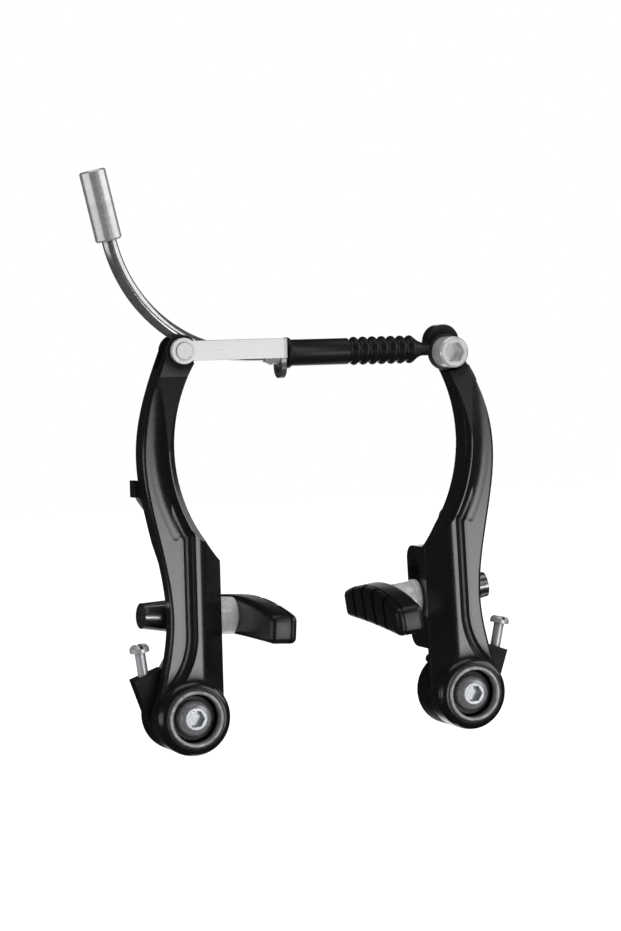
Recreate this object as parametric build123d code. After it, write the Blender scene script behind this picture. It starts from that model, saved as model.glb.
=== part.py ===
from build123d import *
from math import asin, atan, atan2, cos, degrees, hypot, radians, sin, sqrt, tan
import os

# A linear-pull bicycle rim brake, in millimetres. +X runs to the right arm, +Y towards the bicycle
# frame and +Z up. The origin lies midway between the two frame studs, on their shoulder plane.

# Driving dimensions: stance
STUD_SPACING = 80.0
LEFT_LEAN = 0.5
RIGHT_LEAN = 1.75
RIVET_HEIGHT = 95.8
ANCHOR_HEIGHT = 92.9

# Clearances
RUNNING_GAP = 0.05
SEAT_GAP = 0.02
SIDE_GAP = 0.3

# Pivot stack, as distances in front of the stud shoulder plane
BUSH_LENGTH = 14.6
BUSH_WALL = 1.45
STUD_BORE_RADIUS = 4.05
STUD_SEAT_LENGTH = 5.0
GREASE_RELIEF = 0.35
PIVOT_WASHER_THICK = 1.0
PIVOT_WASHER_LIP = 0.3
PIVOT_SHANK_RADIUS = 2.95
PIVOT_SHANK_LENGTH = 9.6
PIVOT_HEAD_RADIUS = 4.8
PIVOT_HEAD_HEIGHT = 2.8
PIVOT_HEAD_RIM = 0.7
PIVOT_HEAD_FLAT_RADIUS = 2.9
PIVOT_HEAD_DOME_RADIUS = 2.4
PIVOT_SOCKET = 4.0
PIVOT_SOCKET_DEPTH = 2.1
COLLAR_GAP = 0.7
COLLAR_WIDTH = 1.0
COLLAR_DEPTH = 2.5
COLLAR_PROUD = 0.6
COLLAR_BEVEL = 0.3

# Brake arm, seen from the front with its pivot at the origin and x towards the wheel
ARM_FRONT = 15.5
ARM_UPPER_DEPTH = 7.0
ARM_BAR_DEPTH = 4.3
ARM_RAMP = 8.0
ARM_FRONT_ROUND = 0.8
ARM_REAR_ROUND = 1.0
BOSS_WALL = 2.5
BOSS_FRONT = 18.4
BOSS_DEPTH = 7.4
BOSS_EDGE_ROUND = 2.2
HUB_WALL = 1.45
WAIST_X = 5.1
WAIST_Z = 26.0
BULGE_X = 11.4
BULGE_Z = 65.0
INNER_HOLLOW_X = 3.0
INNER_HOLLOW_Z = 72.0
TOP_HALF_WIDTH = 3.3
EYE_JOIN_DROP = 3.2
LUG_JOIN_DROP = 0.3
FOOT_SLOPE = 0.25
EYE_LEAN = 22.7
LUG_LEAN = 31.8
RIDGE_PROUD = 1.1
RIDGE_X = 3.5
RIDGE_ROUND = 6.0
RIDGE_KINK_Z = 47.5
RIDGE_FADE_Z = 70.0
INNER_BEVEL = 1.4
RIDGE_FLAT = 0.45
SCOOP_RADIUS = 9.0
SCOOP_SINK = 0.05
SCOOP_TURN_Z = 74.0
SCOOP_RUN = 24.0
GROOVE_RADIUS = 2.0
GROOVE_SINK = 0.35
GROOVE_X = -0.1
GROOVE_START_Z = 66.0
GROOVE_TURN_Z = 22.0
GROOVE_END_X = -6.0
GROOVE_END_Z = 8.0
WEB_THICK = 6.0
WEB_FACE_X = 9.8
WEB_REAR = 0.4
WEB_BOTTOM = 12.7
WEB_TOP = 40.6
WEB_CORNER = 4.0
WEB_SINK = 0.9
FLANK_FRONT = 12.6
SLOT_GAP = 0.6
SLOT_BOTTOM = 17.0
SLOT_TOP = 37.0
EYE_RADIUS = 4.2
FORK_PLAY = 0.3
FORK_DROP = 4.6
LUG_RADIUS = 4.6
LUG_RISE = 2.9
LUG_FRONT = 11.5
LUG_DEPTH = 4.0
LUG_SEAT_GAP = 0.4
SPRING_LUG_Z = 60.2
SPRING_LUG_HEIGHT = 4.4
SPRING_LUG_PROUD = 1.0
SPRING_LUG_DROP = 2.2
SPRING_LUG_FRONT = 10.0

# Spring housing and return spring
HOUSING_WALL = 0.8
HOUSING_FLOOR = 1.2
HOUSING_REAR = 2.6
EAR_X = 14.1
EAR_Z = 10.2
EAR_INNER_X = 6.2
EAR_INNER_Z = 13.0
EAR_DEPTH = 4.6
LEG_SLOT_WIDTH = 6.4
LEG_SLOT_INSET = 1.6
PEG_RADIUS = 1.25
PEG_LENGTH = 4.0
PEG_X = 3.0
PEG_Z = 7.6
WIRE_RADIUS = 0.85
COIL_PLAY = 0.2
COIL_TURNS = 2.5
COIL_PITCH = 1.8
LEG_GAP = 0.4
LEG_EXIT = 6.5
LEG_BEND_RADIUS = 2.0
LEG_BEND_X = 1.6
LEG_BEND_Z = 18.0
LEG_KNEE_X = 0.8
LEG_KNEE_Z = 48.0
LEG_TIP_ABOVE_LUG = 2.6

# Tension screw
LEFT_SCREW_TILT = 7.0
RIGHT_SCREW_TILT = 12.5
LEFT_SCREW_HEAD_X = 11.6
RIGHT_SCREW_HEAD_X = 12.8
SCREW_HEAD_Z = 17.5
SCREW_SHANK_RADIUS = 1.4
SCREW_LENGTH = 11.0
SCREW_TRAVEL = 2.5
SCREW_HEAD_RADIUS = 2.6
SCREW_HEAD_HEIGHT = 1.9
SCREW_HEAD_RIM = 1.15
SCREW_HEAD_FLAT_RADIUS = 1.95
SCREW_SLOT_WIDTH = 0.8
SCREW_SLOT_DEPTH = 0.9

# Pad and its fixings
POST_CLEARANCE = 1.3
LEFT_PAD_HEIGHT = 25.5
RIGHT_PAD_HEIGHT = 26.3
LEFT_TOE = 5.0
RIGHT_TOE = 6.5
LEFT_DIP = 3.8
RIGHT_DIP = 6.0
POST_RADIUS = 3.0
POST_FLANGE_RADIUS = 4.4
POST_FLANGE_THICK = 1.6
POST_FLANGE_INSET = 2.2
PAD_WASHER_RADIUS = 5.0
DOME_RIM = 1.0
SWIVEL_GAP = 1.0
INNER_CUP_DEPTH = 2.4
OUTER_CUP_DEPTH = 1.5
FLAT_WASHER_THICK = 0.8
NUT_LENGTH = 8.7
NUT_BASE_RADIUS = 4.35
NUT_END_RADIUS = 3.4
NUT_SOCKET = 5.0
NUT_SOCKET_DEPTH = 4.0
PAD_LENGTH = 50.0
PAD_THICK = 7.7
PAD_CREST = 5.5
PAD_SOLE = 5.0
PAD_END_CREST = 2.0
PAD_END_SOLE = 5.4
PAD_CORNER = 1.8
PAD_GROOVES = 4
PAD_GROOVE_PITCH = 9.6
PAD_GROOVE_WIDTH = 1.6
PAD_GROOVE_DEPTH = 2.2
PAD_SEAM_X = 5.3
PAD_SEAM_WIDTH = 0.6
PAD_SEAM_DEPTH = 0.45

# Cable link and its pin
LINK_THICK = 1.5
LINK_HEIGHT = 5.2
LINK_LENGTH = 29.2
LINK_EYE_RADIUS = 3.4
LINK_SIDE_GAP = 0.2
LINK_BEND_RADIUS = 2.0
TAB_DROP = 7.9
TAB_WIDTH = 6.0
KEYHOLE_RADIUS = 1.5
KEYHOLE_WIDTH = 2.0
PIN_RADIUS = 1.4
PIN_HEAD_RADIUS = 2.15
PIN_HEAD_HEIGHT = 0.4

# Guide pipe
PIPE_RADIUS = 1.95
PIPE_BORE_RADIUS = 1.35
PIPE_DROP = 1.3
PIPE_BEND_RADIUS = 38.5
PIPE_SLANT = 12.6
PIPE_PIN_GAP = 0.3
LINER_BORE_RADIUS = 0.9
SLEEVE_RADIUS = 3.45
SLEEVE_LENGTH = 18.4
SLEEVE_SOCKET_RADIUS = 2.55
SLEEVE_SOCKET_DEPTH = 10.0
SLEEVE_GRIP = 6.0
SLEEVE_BEVEL = 0.4
TIP_SHOULDER = 0.9
TIP_SHOULDER_LENGTH = 4.0
TIP_CONE_LENGTH = 2.0
TIP_WALL = 0.25
TIP_NOSE_LENGTH = 7.0
TIP_GRIP = 3.0

# Cable boot, along the cable from the link to the anchor
BOOT_GAP = 0.5
BOOT_RADIUS = 3.5
BOOT_FLANGE_RADIUS = 4.1
BOOT_FLANGE_WIDTH = 1.2
BOOT_RIBS = 7
BOOT_RIB_WIDTH = 1.2
BOOT_RIB_SLOPE = 0.4
BOOT_TROUGH_WIDTH = 0.7
BOOT_RIB_RADIUS = 3.8
BOOT_TROUGH_RADIUS = 3.1
BOOT_CONE_LENGTH = 3.4
BOOT_NECK_RADIUS = 1.8
BOOT_NECK_LENGTH = 1.4
BOOT_END_BORE_RADIUS = 1.0

# Cable anchor
CABLE_RISE = 1.0
ANCHOR_HEAD_RADIUS = 4.2
ANCHOR_HEAD_HEIGHT = 5.8
ANCHOR_SOCKET = 5.0
ANCHOR_SOCKET_DEPTH = 3.0
ANCHOR_RIM = 0.5
ANCHOR_SHANK_RADIUS = 2.5
ANCHOR_SHANK_PAST = 0.8
ANCHOR_WASHER_RADIUS = 4.9
ANCHOR_WASHER_THICK = 1.2

# Places worked out from the dimensions above
PIVOT_X = STUD_SPACING / 2
BUSH_RADIUS = STUD_BORE_RADIUS + BUSH_WALL
PIVOT_WASHER_RADIUS = BUSH_RADIUS + PIVOT_WASHER_LIP
COLLAR_INNER_RADIUS = PIVOT_WASHER_RADIUS + COLLAR_GAP
COLLAR_OUTER_RADIUS = COLLAR_INNER_RADIUS + COLLAR_WIDTH
BOSS_RADIUS = COLLAR_OUTER_RADIUS + BOSS_WALL
HUB_RADIUS = BUSH_RADIUS + RUNNING_GAP + HUB_WALL
HOUSING_FRONT = BOSS_FRONT - BOSS_DEPTH - SIDE_GAP
WASHER_FRONT = BUSH_LENGTH + PIVOT_WASHER_THICK
COLLAR_FRONT = BOSS_FRONT + COLLAR_PROUD
COLLAR_SEAT = COLLAR_FRONT - COLLAR_DEPTH
ARM_SHOULDER = BUSH_LENGTH - SIDE_GAP
HUB_REAR = HOUSING_REAR + HOUSING_FLOOR + SIDE_GAP
ARM_MID = ARM_FRONT - ARM_UPPER_DEPTH / 2
ARM_UPPER_REAR = ARM_FRONT - ARM_UPPER_DEPTH
ARM_BAR_REAR = ARM_FRONT - ARM_BAR_DEPTH
RIDGE_FRONT = ARM_FRONT + RIDGE_PROUD
FLANK_SLOPE = (RIDGE_FRONT - FLANK_FRONT) / (WEB_FACE_X - RIDGE_X)
GROOVE_DEPTH = RIDGE_PROUD + GROOVE_SINK
EYE_JOIN_Z = RIVET_HEIGHT - EYE_JOIN_DROP
LUG_JOIN_Z = ANCHOR_HEIGHT - LUG_JOIN_DROP
LUG_REAR = LUG_FRONT - LUG_DEPTH
SPRING_LUG_REAR = ARM_UPPER_REAR - SPRING_LUG_DROP
WEB_MID_X = WEB_FACE_X - WEB_THICK / 2
SLOT_WIDTH = 2 * (POST_RADIUS + SLOT_GAP)
POST_DEPTH = ARM_BAR_REAR - PAD_WASHER_RADIUS - POST_CLEARANCE
DOME_SPHERE_RADIUS = hypot(PAD_WASHER_RADIUS, WEB_THICK / 2 + DOME_RIM)
DOME_BORE_RADIUS = POST_RADIUS + SWIVEL_GAP
INNER_CUP_REACH = DOME_SPHERE_RADIUS + INNER_CUP_DEPTH
OUTER_CUP_REACH = DOME_SPHERE_RADIUS + OUTER_CUP_DEPTH
COIL_RADIUS = HUB_RADIUS + SIDE_GAP + WIRE_RADIUS
HOUSING_RADIUS = COIL_RADIUS + WIRE_RADIUS + COIL_PLAY + HOUSING_WALL
COIL_FRONT = HOUSING_FRONT - WIRE_RADIUS - SIDE_GAP
COIL_LENGTH = COIL_TURNS * COIL_PITCH
COIL_REAR = COIL_FRONT - COIL_LENGTH
LEG_SLOT_FRONT = COIL_REAR + WIRE_RADIUS + SIDE_GAP
LEG_REAR = PAD_WASHER_RADIUS - POST_DEPTH + WIRE_RADIUS + LEG_GAP
SCREW_DEPTH = HOUSING_FRONT - EAR_DEPTH / 2

# The link's own frame has its origin at the rivet and x along the cable, towards the anchor
RIVET_X = -PIVOT_X + RIVET_HEIGHT * sin(radians(LEFT_LEAN))
RIVET_Z = RIVET_HEIGHT * cos(radians(LEFT_LEAN))
CABLE_END_X = PIVOT_X - ANCHOR_HEIGHT * sin(radians(RIGHT_LEAN))
CABLE_END_Z = ANCHOR_HEIGHT * cos(radians(RIGHT_LEAN)) + CABLE_RISE
CABLE_RUN = hypot(CABLE_END_X - RIVET_X, CABLE_END_Z - RIVET_Z)
CABLE_REACH = sqrt(CABLE_RUN**2 - PIPE_DROP**2)
LINK_TILT = degrees(atan2(CABLE_END_Z - RIVET_Z, CABLE_END_X - RIVET_X) + asin(PIPE_DROP / CABLE_RUN))
LINK_INNER = ARM_UPPER_DEPTH / 2 + LINK_SIDE_GAP
LINK_OUTER = LINK_INNER + LINK_THICK
FORK_GAP = 2 * (PIPE_RADIUS + FORK_PLAY)
LINER_RADIUS = PIPE_BORE_RADIUS - RUNNING_GAP
TIP_NOSE_RADIUS = PIPE_RADIUS + TIP_WALL
TIP_SHOULDER_RADIUS = TIP_NOSE_RADIUS + TIP_SHOULDER
SHOULDER_X = LINK_LENGTH - LINK_THICK - SEAT_GAP
PIPE_END_X = SHOULDER_X - TIP_SHOULDER_LENGTH + TIP_GRIP
PIN_CLEAR = PIPE_BEND_RADIUS + PIPE_RADIUS + PIN_RADIUS + PIPE_PIN_GAP
PIPE_BEND_X = sqrt(PIN_CLEAR**2 - (PIPE_BEND_RADIUS - PIPE_DROP) ** 2)
BOOT_START_X = LINK_LENGTH + BOOT_GAP
BOOT_END_X = CABLE_REACH - max(LUG_RADIUS, ANCHOR_WASHER_RADIUS) - SIDE_GAP
BOOT_BORE_RADIUS = TIP_NOSE_RADIUS + RUNNING_GAP
BOOT_RIB_PITCH = BOOT_RIB_WIDTH + BOOT_TROUGH_WIDTH + 2 * BOOT_RIB_SLOPE


def prism(face, front, rear):
    """A front-view face made solid between two depths in front of the shoulder plane."""
    return extrude(Plane.XZ.offset(rear) * face, front - rear)


def rod(radius, front, rear, x=0.0, z=0.0):
    """A round bar along the depth."""
    return prism(Pos(x, z) * Circle(radius), front, rear)


def turned(profile):
    """A turned piece along x, from its half profile of (along, radius) points or curves."""
    outline = Polyline(*profile, close=True) if isinstance(profile, list) else profile
    return revolve(make_face(outline), Axis.X)


def facing_front(piece):
    """A turned piece stood on the depth axis, its start at the rear and its end at the front."""
    return Rot(0, 0, -90) * piece


def hex_hole(across, start, depth):
    """A hexagonal socket along x, with its mouth at the end."""
    return extrude(Plane.YZ.offset(start) * RegularPolygon(across / sqrt(3), 6), depth)


def on_arm(piece, side):
    """A piece of the left arm's own frame, put on the left or the right stud at the arm's lean."""
    if side == "left":
        return Pos(-PIVOT_X, 0, 0) * Rot(0, LEFT_LEAN, 0) * piece
    return Pos(PIVOT_X, 0, 0) * Rot(0, -RIGHT_LEAN, 0) * mirror(piece, about=Plane.YZ)


def on_link(piece):
    """A piece of the link's own frame, put on the rivet and turned in line with the cable."""
    return Pos(RIVET_X, -ARM_MID, RIVET_Z) * Rot(0, -LINK_TILT, 0) * piece


def on_stud(piece, side):
    """A piece that stands square on the left or the right stud."""
    if side == "left":
        return Pos(-PIVOT_X, 0, 0) * piece
    return Pos(PIVOT_X, 0, 0) * mirror(piece, about=Plane.YZ)


def pivot_bush():
    """The sleeve that runs on the stud, relieved for grease in front of its seat."""
    sleeve = rod(BUSH_RADIUS, BUSH_LENGTH, 0) - rod(STUD_BORE_RADIUS, BUSH_LENGTH, 0)
    return sleeve - rod(STUD_BORE_RADIUS + GREASE_RELIEF, BUSH_LENGTH, STUD_SEAT_LENGTH)


def pivot_washer():
    washer = rod(PIVOT_WASHER_RADIUS, WASHER_FRONT, BUSH_LENGTH)
    return washer - rod(PIVOT_SHANK_RADIUS + RUNNING_GAP, WASHER_FRONT, BUSH_LENGTH)


def pivot_bolt():
    """A button head bolt; its profile runs from the shank's end to the domed head."""
    seat = PIVOT_SHANK_LENGTH
    rim = seat + PIVOT_HEAD_RIM
    top = seat + PIVOT_HEAD_HEIGHT
    profile = Polyline((top, PIVOT_HEAD_FLAT_RADIUS), (top, 0), (0, 0), (0, PIVOT_SHANK_RADIUS),
                       (seat, PIVOT_SHANK_RADIUS), (seat, PIVOT_HEAD_RADIUS), (rim, PIVOT_HEAD_RADIUS))
    profile += RadiusArc((rim, PIVOT_HEAD_RADIUS), (top, PIVOT_HEAD_FLAT_RADIUS), PIVOT_HEAD_DOME_RADIUS)
    bolt = turned(profile) - hex_hole(PIVOT_SOCKET, top - PIVOT_SOCKET_DEPTH, PIVOT_SOCKET_DEPTH)
    return Pos(0, -(WASHER_FRONT - PIVOT_SHANK_LENGTH), 0) * facing_front(bolt)


def pivot_collar():
    """The bright ring round the bolt's recess, bevelled on both front edges."""
    ring = turned([(0, COLLAR_INNER_RADIUS), (0, COLLAR_OUTER_RADIUS),
                   (COLLAR_DEPTH - COLLAR_BEVEL, COLLAR_OUTER_RADIUS),
                   (COLLAR_DEPTH, COLLAR_OUTER_RADIUS - COLLAR_BEVEL),
                   (COLLAR_DEPTH, COLLAR_INNER_RADIUS + COLLAR_BEVEL),
                   (COLLAR_DEPTH - COLLAR_BEVEL, COLLAR_INNER_RADIUS)])
    return Pos(0, -COLLAR_SEAT, 0) * facing_front(ring)


def arm_outline(outer_top, lean, inner_top_z):
    """The arm's front view from the pivot to its top: bowed outside, hollow inside."""
    tangents = [(FOOT_SLOPE, 1), (tan(radians(lean)), 1)]
    outer = Spline((-BOSS_RADIUS, 0), (-WAIST_X, WAIST_Z), (-BULGE_X, BULGE_Z), outer_top,
                   tangents=tangents)
    inner_top = (TOP_HALF_WIDTH, inner_top_z)
    inner = ThreePointArc(inner_top, (-INNER_HOLLOW_X, INNER_HOLLOW_Z), (WEB_FACE_X, WEB_TOP))
    edges = outer + Line(outer_top, inner_top) + inner
    edges += Polyline((WEB_FACE_X, WEB_TOP), (WEB_FACE_X, 0), (-BOSS_RADIUS, 0))
    return make_face(edges), inner


def arm_bar(side):
    """The arm's bar, thin behind the pad fixings and deep above them, with its web and front relief."""
    if side == "left":
        reach = EYE_RADIUS * cos(radians(EYE_LEAN))
        rise = EYE_RADIUS * sin(radians(EYE_LEAN))
        outline, inner = arm_outline((-reach, RIVET_HEIGHT + rise), EYE_LEAN, EYE_JOIN_Z)
    else:
        outline, inner = arm_outline((-TOP_HALF_WIDTH, LUG_JOIN_Z), LUG_LEAN, LUG_JOIN_Z)
    bar = prism(outline, ARM_FRONT, ARM_BAR_REAR)
    outer_edge = bar.edges().group_by(Axis.Y)[0].sort_by(SortBy.LENGTH)[-1]
    bar = fillet(outer_edge, ARM_FRONT_ROUND)
    above = Pos(0, WEB_TOP + RIVET_HEIGHT) * Rectangle(2 * RIVET_HEIGHT, 2 * RIVET_HEIGHT)
    upper = prism(outline & above, ARM_BAR_REAR, ARM_UPPER_REAR)
    rear_edges = upper.edges().group_by(Axis.Y)[-1].sort_by(SortBy.LENGTH)[-2:]
    upper = fillet(rear_edges, ARM_REAR_ROUND)
    arm = bar + (upper - rear_ramp()) + raised_ridge(outline, inner) + pad_web()
    arm -= lower_flank()
    arm -= inner_bevel(inner)
    return arm - ridge_scoop(inner) - upper_groove(inner) - lower_groove()


def side_cut(*points):
    """A solid right across the arm, from its side view as (y, z) points."""
    return extrude(Plane.YZ * make_face(Polyline(*points, close=True)), 2 * BULGE_X, both=True)


def rear_ramp():
    """What is cut from the foot of the deep upper arm, so that it rises from the bar in a slope."""
    return side_cut((-ARM_BAR_REAR, WEB_TOP), (-ARM_UPPER_REAR, WEB_TOP + ARM_RAMP),
                    (-ARM_UPPER_REAR, WEB_TOP))


def raised_ridge(outline, inner):
    """The front's proud inner part, right of the scoop and the groove, sloping away to the arm's top."""
    scoop = scoop_curve(inner)
    groove = groove_curve()
    far = 2 * WEB_FACE_X
    edges = scoop + groove + Line(scoop @ 0, groove @ 0)
    edges += Polyline(scoop @ 1, (far, (scoop @ 1).Y), (far, GROOVE_END_Z), groove @ 1)
    ridge = prism(outline & make_face(edges), RIDGE_FRONT, ARM_FRONT)
    top = (scoop @ 1).Y
    fade_end = EYE_JOIN_Z - LINK_EYE_RADIUS
    return ridge - side_cut((-RIDGE_FRONT, RIDGE_FADE_Z), (-ARM_FRONT, fade_end), (-ARM_FRONT, top),
                            (-RIDGE_FRONT, top))


def lower_flank():
    """What is cut away inside the lower ridge, so that the flank rounds off and falls back to the web."""
    slope = atan(FLANK_SLOPE)
    run = RIDGE_ROUND * tan(slope / 2)
    start = (RIDGE_X - run, -RIDGE_FRONT)
    end = (RIDGE_X + run * cos(slope), -RIDGE_FRONT + run * sin(slope))
    reach = 2 * (WEB_FACE_X - RIDGE_X)
    edges = TangentArc(start, end, tangent=(1, 0))
    edges += Polyline(end, (RIDGE_X + reach, -RIDGE_FRONT + reach * FLANK_SLOPE),
                      (RIDGE_X + reach, -2 * RIDGE_FRONT), (start[0], -2 * RIDGE_FRONT), start)
    return extrude(make_face(edges), RIDGE_KINK_Z)


def inner_bevel(inner):
    """What is cut from the upper arm's inner edge, at the flank's slope."""
    reach = 2 * INNER_BEVEL
    start = inner.radius + INNER_BEVEL
    wedge = Polyline((start, -RIDGE_FRONT), (start - reach, -RIDGE_FRONT + reach * FLANK_SLOPE),
                     (start - reach, -2 * RIDGE_FRONT), (start, -2 * RIDGE_FRONT), close=True)
    return Pos(inner.arc_center.X, 0, inner.arc_center.Y) * revolve(make_face(wedge), Axis.Y)


def beside_ridge(inner, half_width, z):
    """The point at a height whose distance from the upper ridge is half a groove's width."""
    radius = inner.radius + INNER_BEVEL + RIDGE_FLAT + half_width
    return (inner.arc_center.X - sqrt(radius**2 - (z - inner.arc_center.Y) ** 2), z)


def scoop_curve(inner):
    """The scoop's lowest line: it follows the inner edge up from the kink, then runs straight."""
    half_width = sqrt(SCOOP_RADIUS**2 - (SCOOP_RADIUS - RIDGE_PROUD) ** 2)
    heights = (RIDGE_KINK_Z, (RIDGE_KINK_Z + SCOOP_TURN_Z) / 2, SCOOP_TURN_Z)
    bend = ThreePointArc(*[beside_ridge(inner, half_width, z) for z in heights])
    return bend + Line(bend @ 1, bend @ 1 + (bend % 1) * SCOOP_RUN)


def groove_curve():
    """The lower groove's middle line: straight down from the kink, then bent outwards above the boss."""
    turn = (GROOVE_X, GROOVE_TURN_Z)
    bend = TangentArc(turn, (GROOVE_END_X, GROOVE_END_Z), tangent=(0, -1))
    return Line((GROOVE_X, RIDGE_KINK_Z), turn) + bend


def round_cut(path, radius):
    """A round cutter swept along a path, with a ball at its start."""
    start = Plane(path @ 0, z_dir=path % 0)
    return sweep(start * Circle(radius), path=path) + Pos(path @ 0) * Sphere(radius)


def front_path(curve, depth):
    """A curve of the front view, set at a depth in front of the shoulder plane."""
    return Pos(0, -depth, 0) * (Plane.XZ * curve)


def ridge_scoop(inner):
    """The wide hollow that rises from the flat outer face to the upper ridge."""
    return round_cut(front_path(scoop_curve(inner), ARM_FRONT + SCOOP_RADIUS - SCOOP_SINK), SCOOP_RADIUS)


def upper_groove(inner):
    """The narrow groove in the scoop beside the ridge, sinking in from its upper end to the kink."""
    half_width = sqrt(GROOVE_RADIUS**2 - (GROOVE_RADIUS - GROOVE_DEPTH) ** 2)
    heights = (RIDGE_KINK_Z, (RIDGE_KINK_Z + GROOVE_START_Z) / 2, GROOVE_START_Z)
    curve = ThreePointArc(*[beside_ridge(inner, half_width, z) for z in heights])
    rise = degrees(atan2(GROOVE_DEPTH, GROOVE_START_Z - RIDGE_KINK_Z))
    kink = Pos(0, 0, RIDGE_KINK_Z)
    tilt = kink * Rot(rise, 0, 0) * kink.inverse()
    depth = RIDGE_FRONT + GROOVE_RADIUS - GROOVE_DEPTH
    return round_cut(Pos(0, -depth, 0) * tilt * (Plane.XZ * curve), GROOVE_RADIUS)


def lower_groove():
    """The groove beside the lower ridge."""
    return round_cut(front_path(groove_curve(), RIDGE_FRONT + GROOVE_RADIUS - GROOVE_DEPTH), GROOVE_RADIUS)


def pad_web():
    """The slotted plate behind the bar that takes the pad's post."""
    depth = ARM_BAR_REAR - WEB_REAR + WEB_SINK
    height = WEB_TOP - WEB_BOTTOM
    plate = Pos(-WEB_REAR - depth / 2, WEB_BOTTOM + height / 2) * Rectangle(depth, height)
    rear_corners = plate.vertices().sort_by(Axis.X)[-2:]
    plate = fillet(rear_corners, WEB_CORNER)
    slot_mid = (SLOT_TOP + SLOT_BOTTOM) / 2
    plate -= Pos(-POST_DEPTH, slot_mid) * Rot(0, 0, 90) * SlotOverall(SLOT_TOP - SLOT_BOTTOM, SLOT_WIDTH)
    return extrude(Plane.YZ.offset(WEB_FACE_X - WEB_THICK) * plate, WEB_THICK)


def brake_arm(side):
    """One arm casting; the left one ends in a fork for the link, the right one in the anchor lug."""
    arm = arm_bar(side)
    boss = rod(BOSS_RADIUS, BOSS_FRONT, BOSS_FRONT - BOSS_DEPTH)
    arm += fillet(boss.edges().filter_by(GeomType.CIRCLE).sort_by(Axis.Y)[0], BOSS_EDGE_ROUND)
    arm += rod(HUB_RADIUS, BOSS_FRONT - BOSS_DEPTH, HUB_REAR)
    lug = Rectangle(SPRING_LUG_PROUD, SPRING_LUG_HEIGHT)
    lug_x = BULGE_X + SPRING_LUG_PROUD / 2
    arm += prism(Pos(-lug_x, SPRING_LUG_Z) * lug, SPRING_LUG_FRONT, SPRING_LUG_REAR)
    root_x = BULGE_X - SPRING_LUG_PROUD / 2
    arm += prism(Pos(-root_x, SPRING_LUG_Z) * lug, SPRING_LUG_FRONT, ARM_UPPER_REAR)
    if side == "left":
        arm = link_fork(arm)
    else:
        arm = anchor_lug(arm)
    arm -= rod(BUSH_RADIUS + RUNNING_GAP, BOSS_FRONT, HUB_REAR)
    arm -= rod(COLLAR_INNER_RADIUS, BOSS_FRONT, ARM_SHOULDER)
    arm -= rod(COLLAR_OUTER_RADIUS + SEAT_GAP, BOSS_FRONT, COLLAR_SEAT)
    return on_arm(arm, side)


def link_fork(arm):
    """The left arm's top: a round eye, slotted for the guide pipe and bored for the rivet."""
    arm += rod(EYE_RADIUS, ARM_FRONT, ARM_UPPER_REAR, 0, RIVET_HEIGHT)
    floor = RIVET_HEIGHT - FORK_DROP
    arm -= Pos(0, -ARM_MID, floor + RIVET_HEIGHT / 2) * Box(4 * EYE_RADIUS, FORK_GAP, RIVET_HEIGHT)
    return arm - rod(PIN_RADIUS + SEAT_GAP, ARM_FRONT, ARM_UPPER_REAR, 0, RIVET_HEIGHT)


def anchor_lug(arm):
    """The right arm's top: a round lug, set back and faced for the anchor bolt's washer."""
    arm += rod(LUG_RADIUS, ARM_FRONT, LUG_REAR, 0, ANCHOR_HEIGHT + LUG_RISE)
    arm -= rod(ANCHOR_WASHER_RADIUS + LUG_SEAT_GAP, BOSS_FRONT, LUG_FRONT, 0, ANCHOR_HEIGHT)
    above = Pos(0, ANCHOR_HEIGHT + BOSS_RADIUS) * Rectangle(4 * LUG_RADIUS, 2 * BOSS_RADIUS)
    arm -= prism(above, BOSS_FRONT, LUG_FRONT)
    return arm - rod(ANCHOR_SHANK_RADIUS + SEAT_GAP, ARM_FRONT, LUG_REAR, 0, ANCHOR_HEIGHT)


def screw_axis(side):
    """The tension screw's axis, from the underside of its head outwards."""
    tilt = LEFT_SCREW_TILT if side == "left" else RIGHT_SCREW_TILT
    head_x = LEFT_SCREW_HEAD_X if side == "left" else RIGHT_SCREW_HEAD_X
    return Pos(-head_x, -SCREW_DEPTH, SCREW_HEAD_Z) * Rot(0, -tilt, 0) * Rot(0, -90, 0)


def spring_housing(side):
    """The moulded cup round the spring, with an ear for the screw and a peg for the frame."""
    floor_front = HOUSING_REAR + HOUSING_FLOOR
    ear_top = Line((-EAR_X, EAR_Z), (-EAR_INNER_X, EAR_INNER_Z))
    ear = make_hull(Circle(HOUSING_RADIUS).edges() + ear_top.edges())
    cup = prism(ear, HOUSING_FRONT, HOUSING_FRONT - EAR_DEPTH)
    cup += rod(HOUSING_RADIUS, HOUSING_FRONT, HOUSING_REAR)
    cup -= rod(HOUSING_RADIUS - HOUSING_WALL, HOUSING_FRONT, floor_front)
    cup -= rod(BUSH_RADIUS + RUNNING_GAP, HOUSING_FRONT, HOUSING_REAR)
    slot = Pos(LEG_SLOT_INSET - COIL_RADIUS, EAR_INNER_Z / 2) * Rectangle(LEG_SLOT_WIDTH, EAR_INNER_Z)
    cup -= prism(slot, LEG_SLOT_FRONT, 0)
    bore_depth = SCREW_LENGTH + SCREW_TRAVEL + SIDE_GAP
    bore = extrude(Plane.YZ.offset(-bore_depth) * Circle(SCREW_SHANK_RADIUS + RUNNING_GAP), bore_depth)
    cup -= screw_axis(side) * bore
    cup += rod(PEG_RADIUS, floor_front, -PEG_LENGTH, PEG_X, PEG_Z)
    return cup


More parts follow.
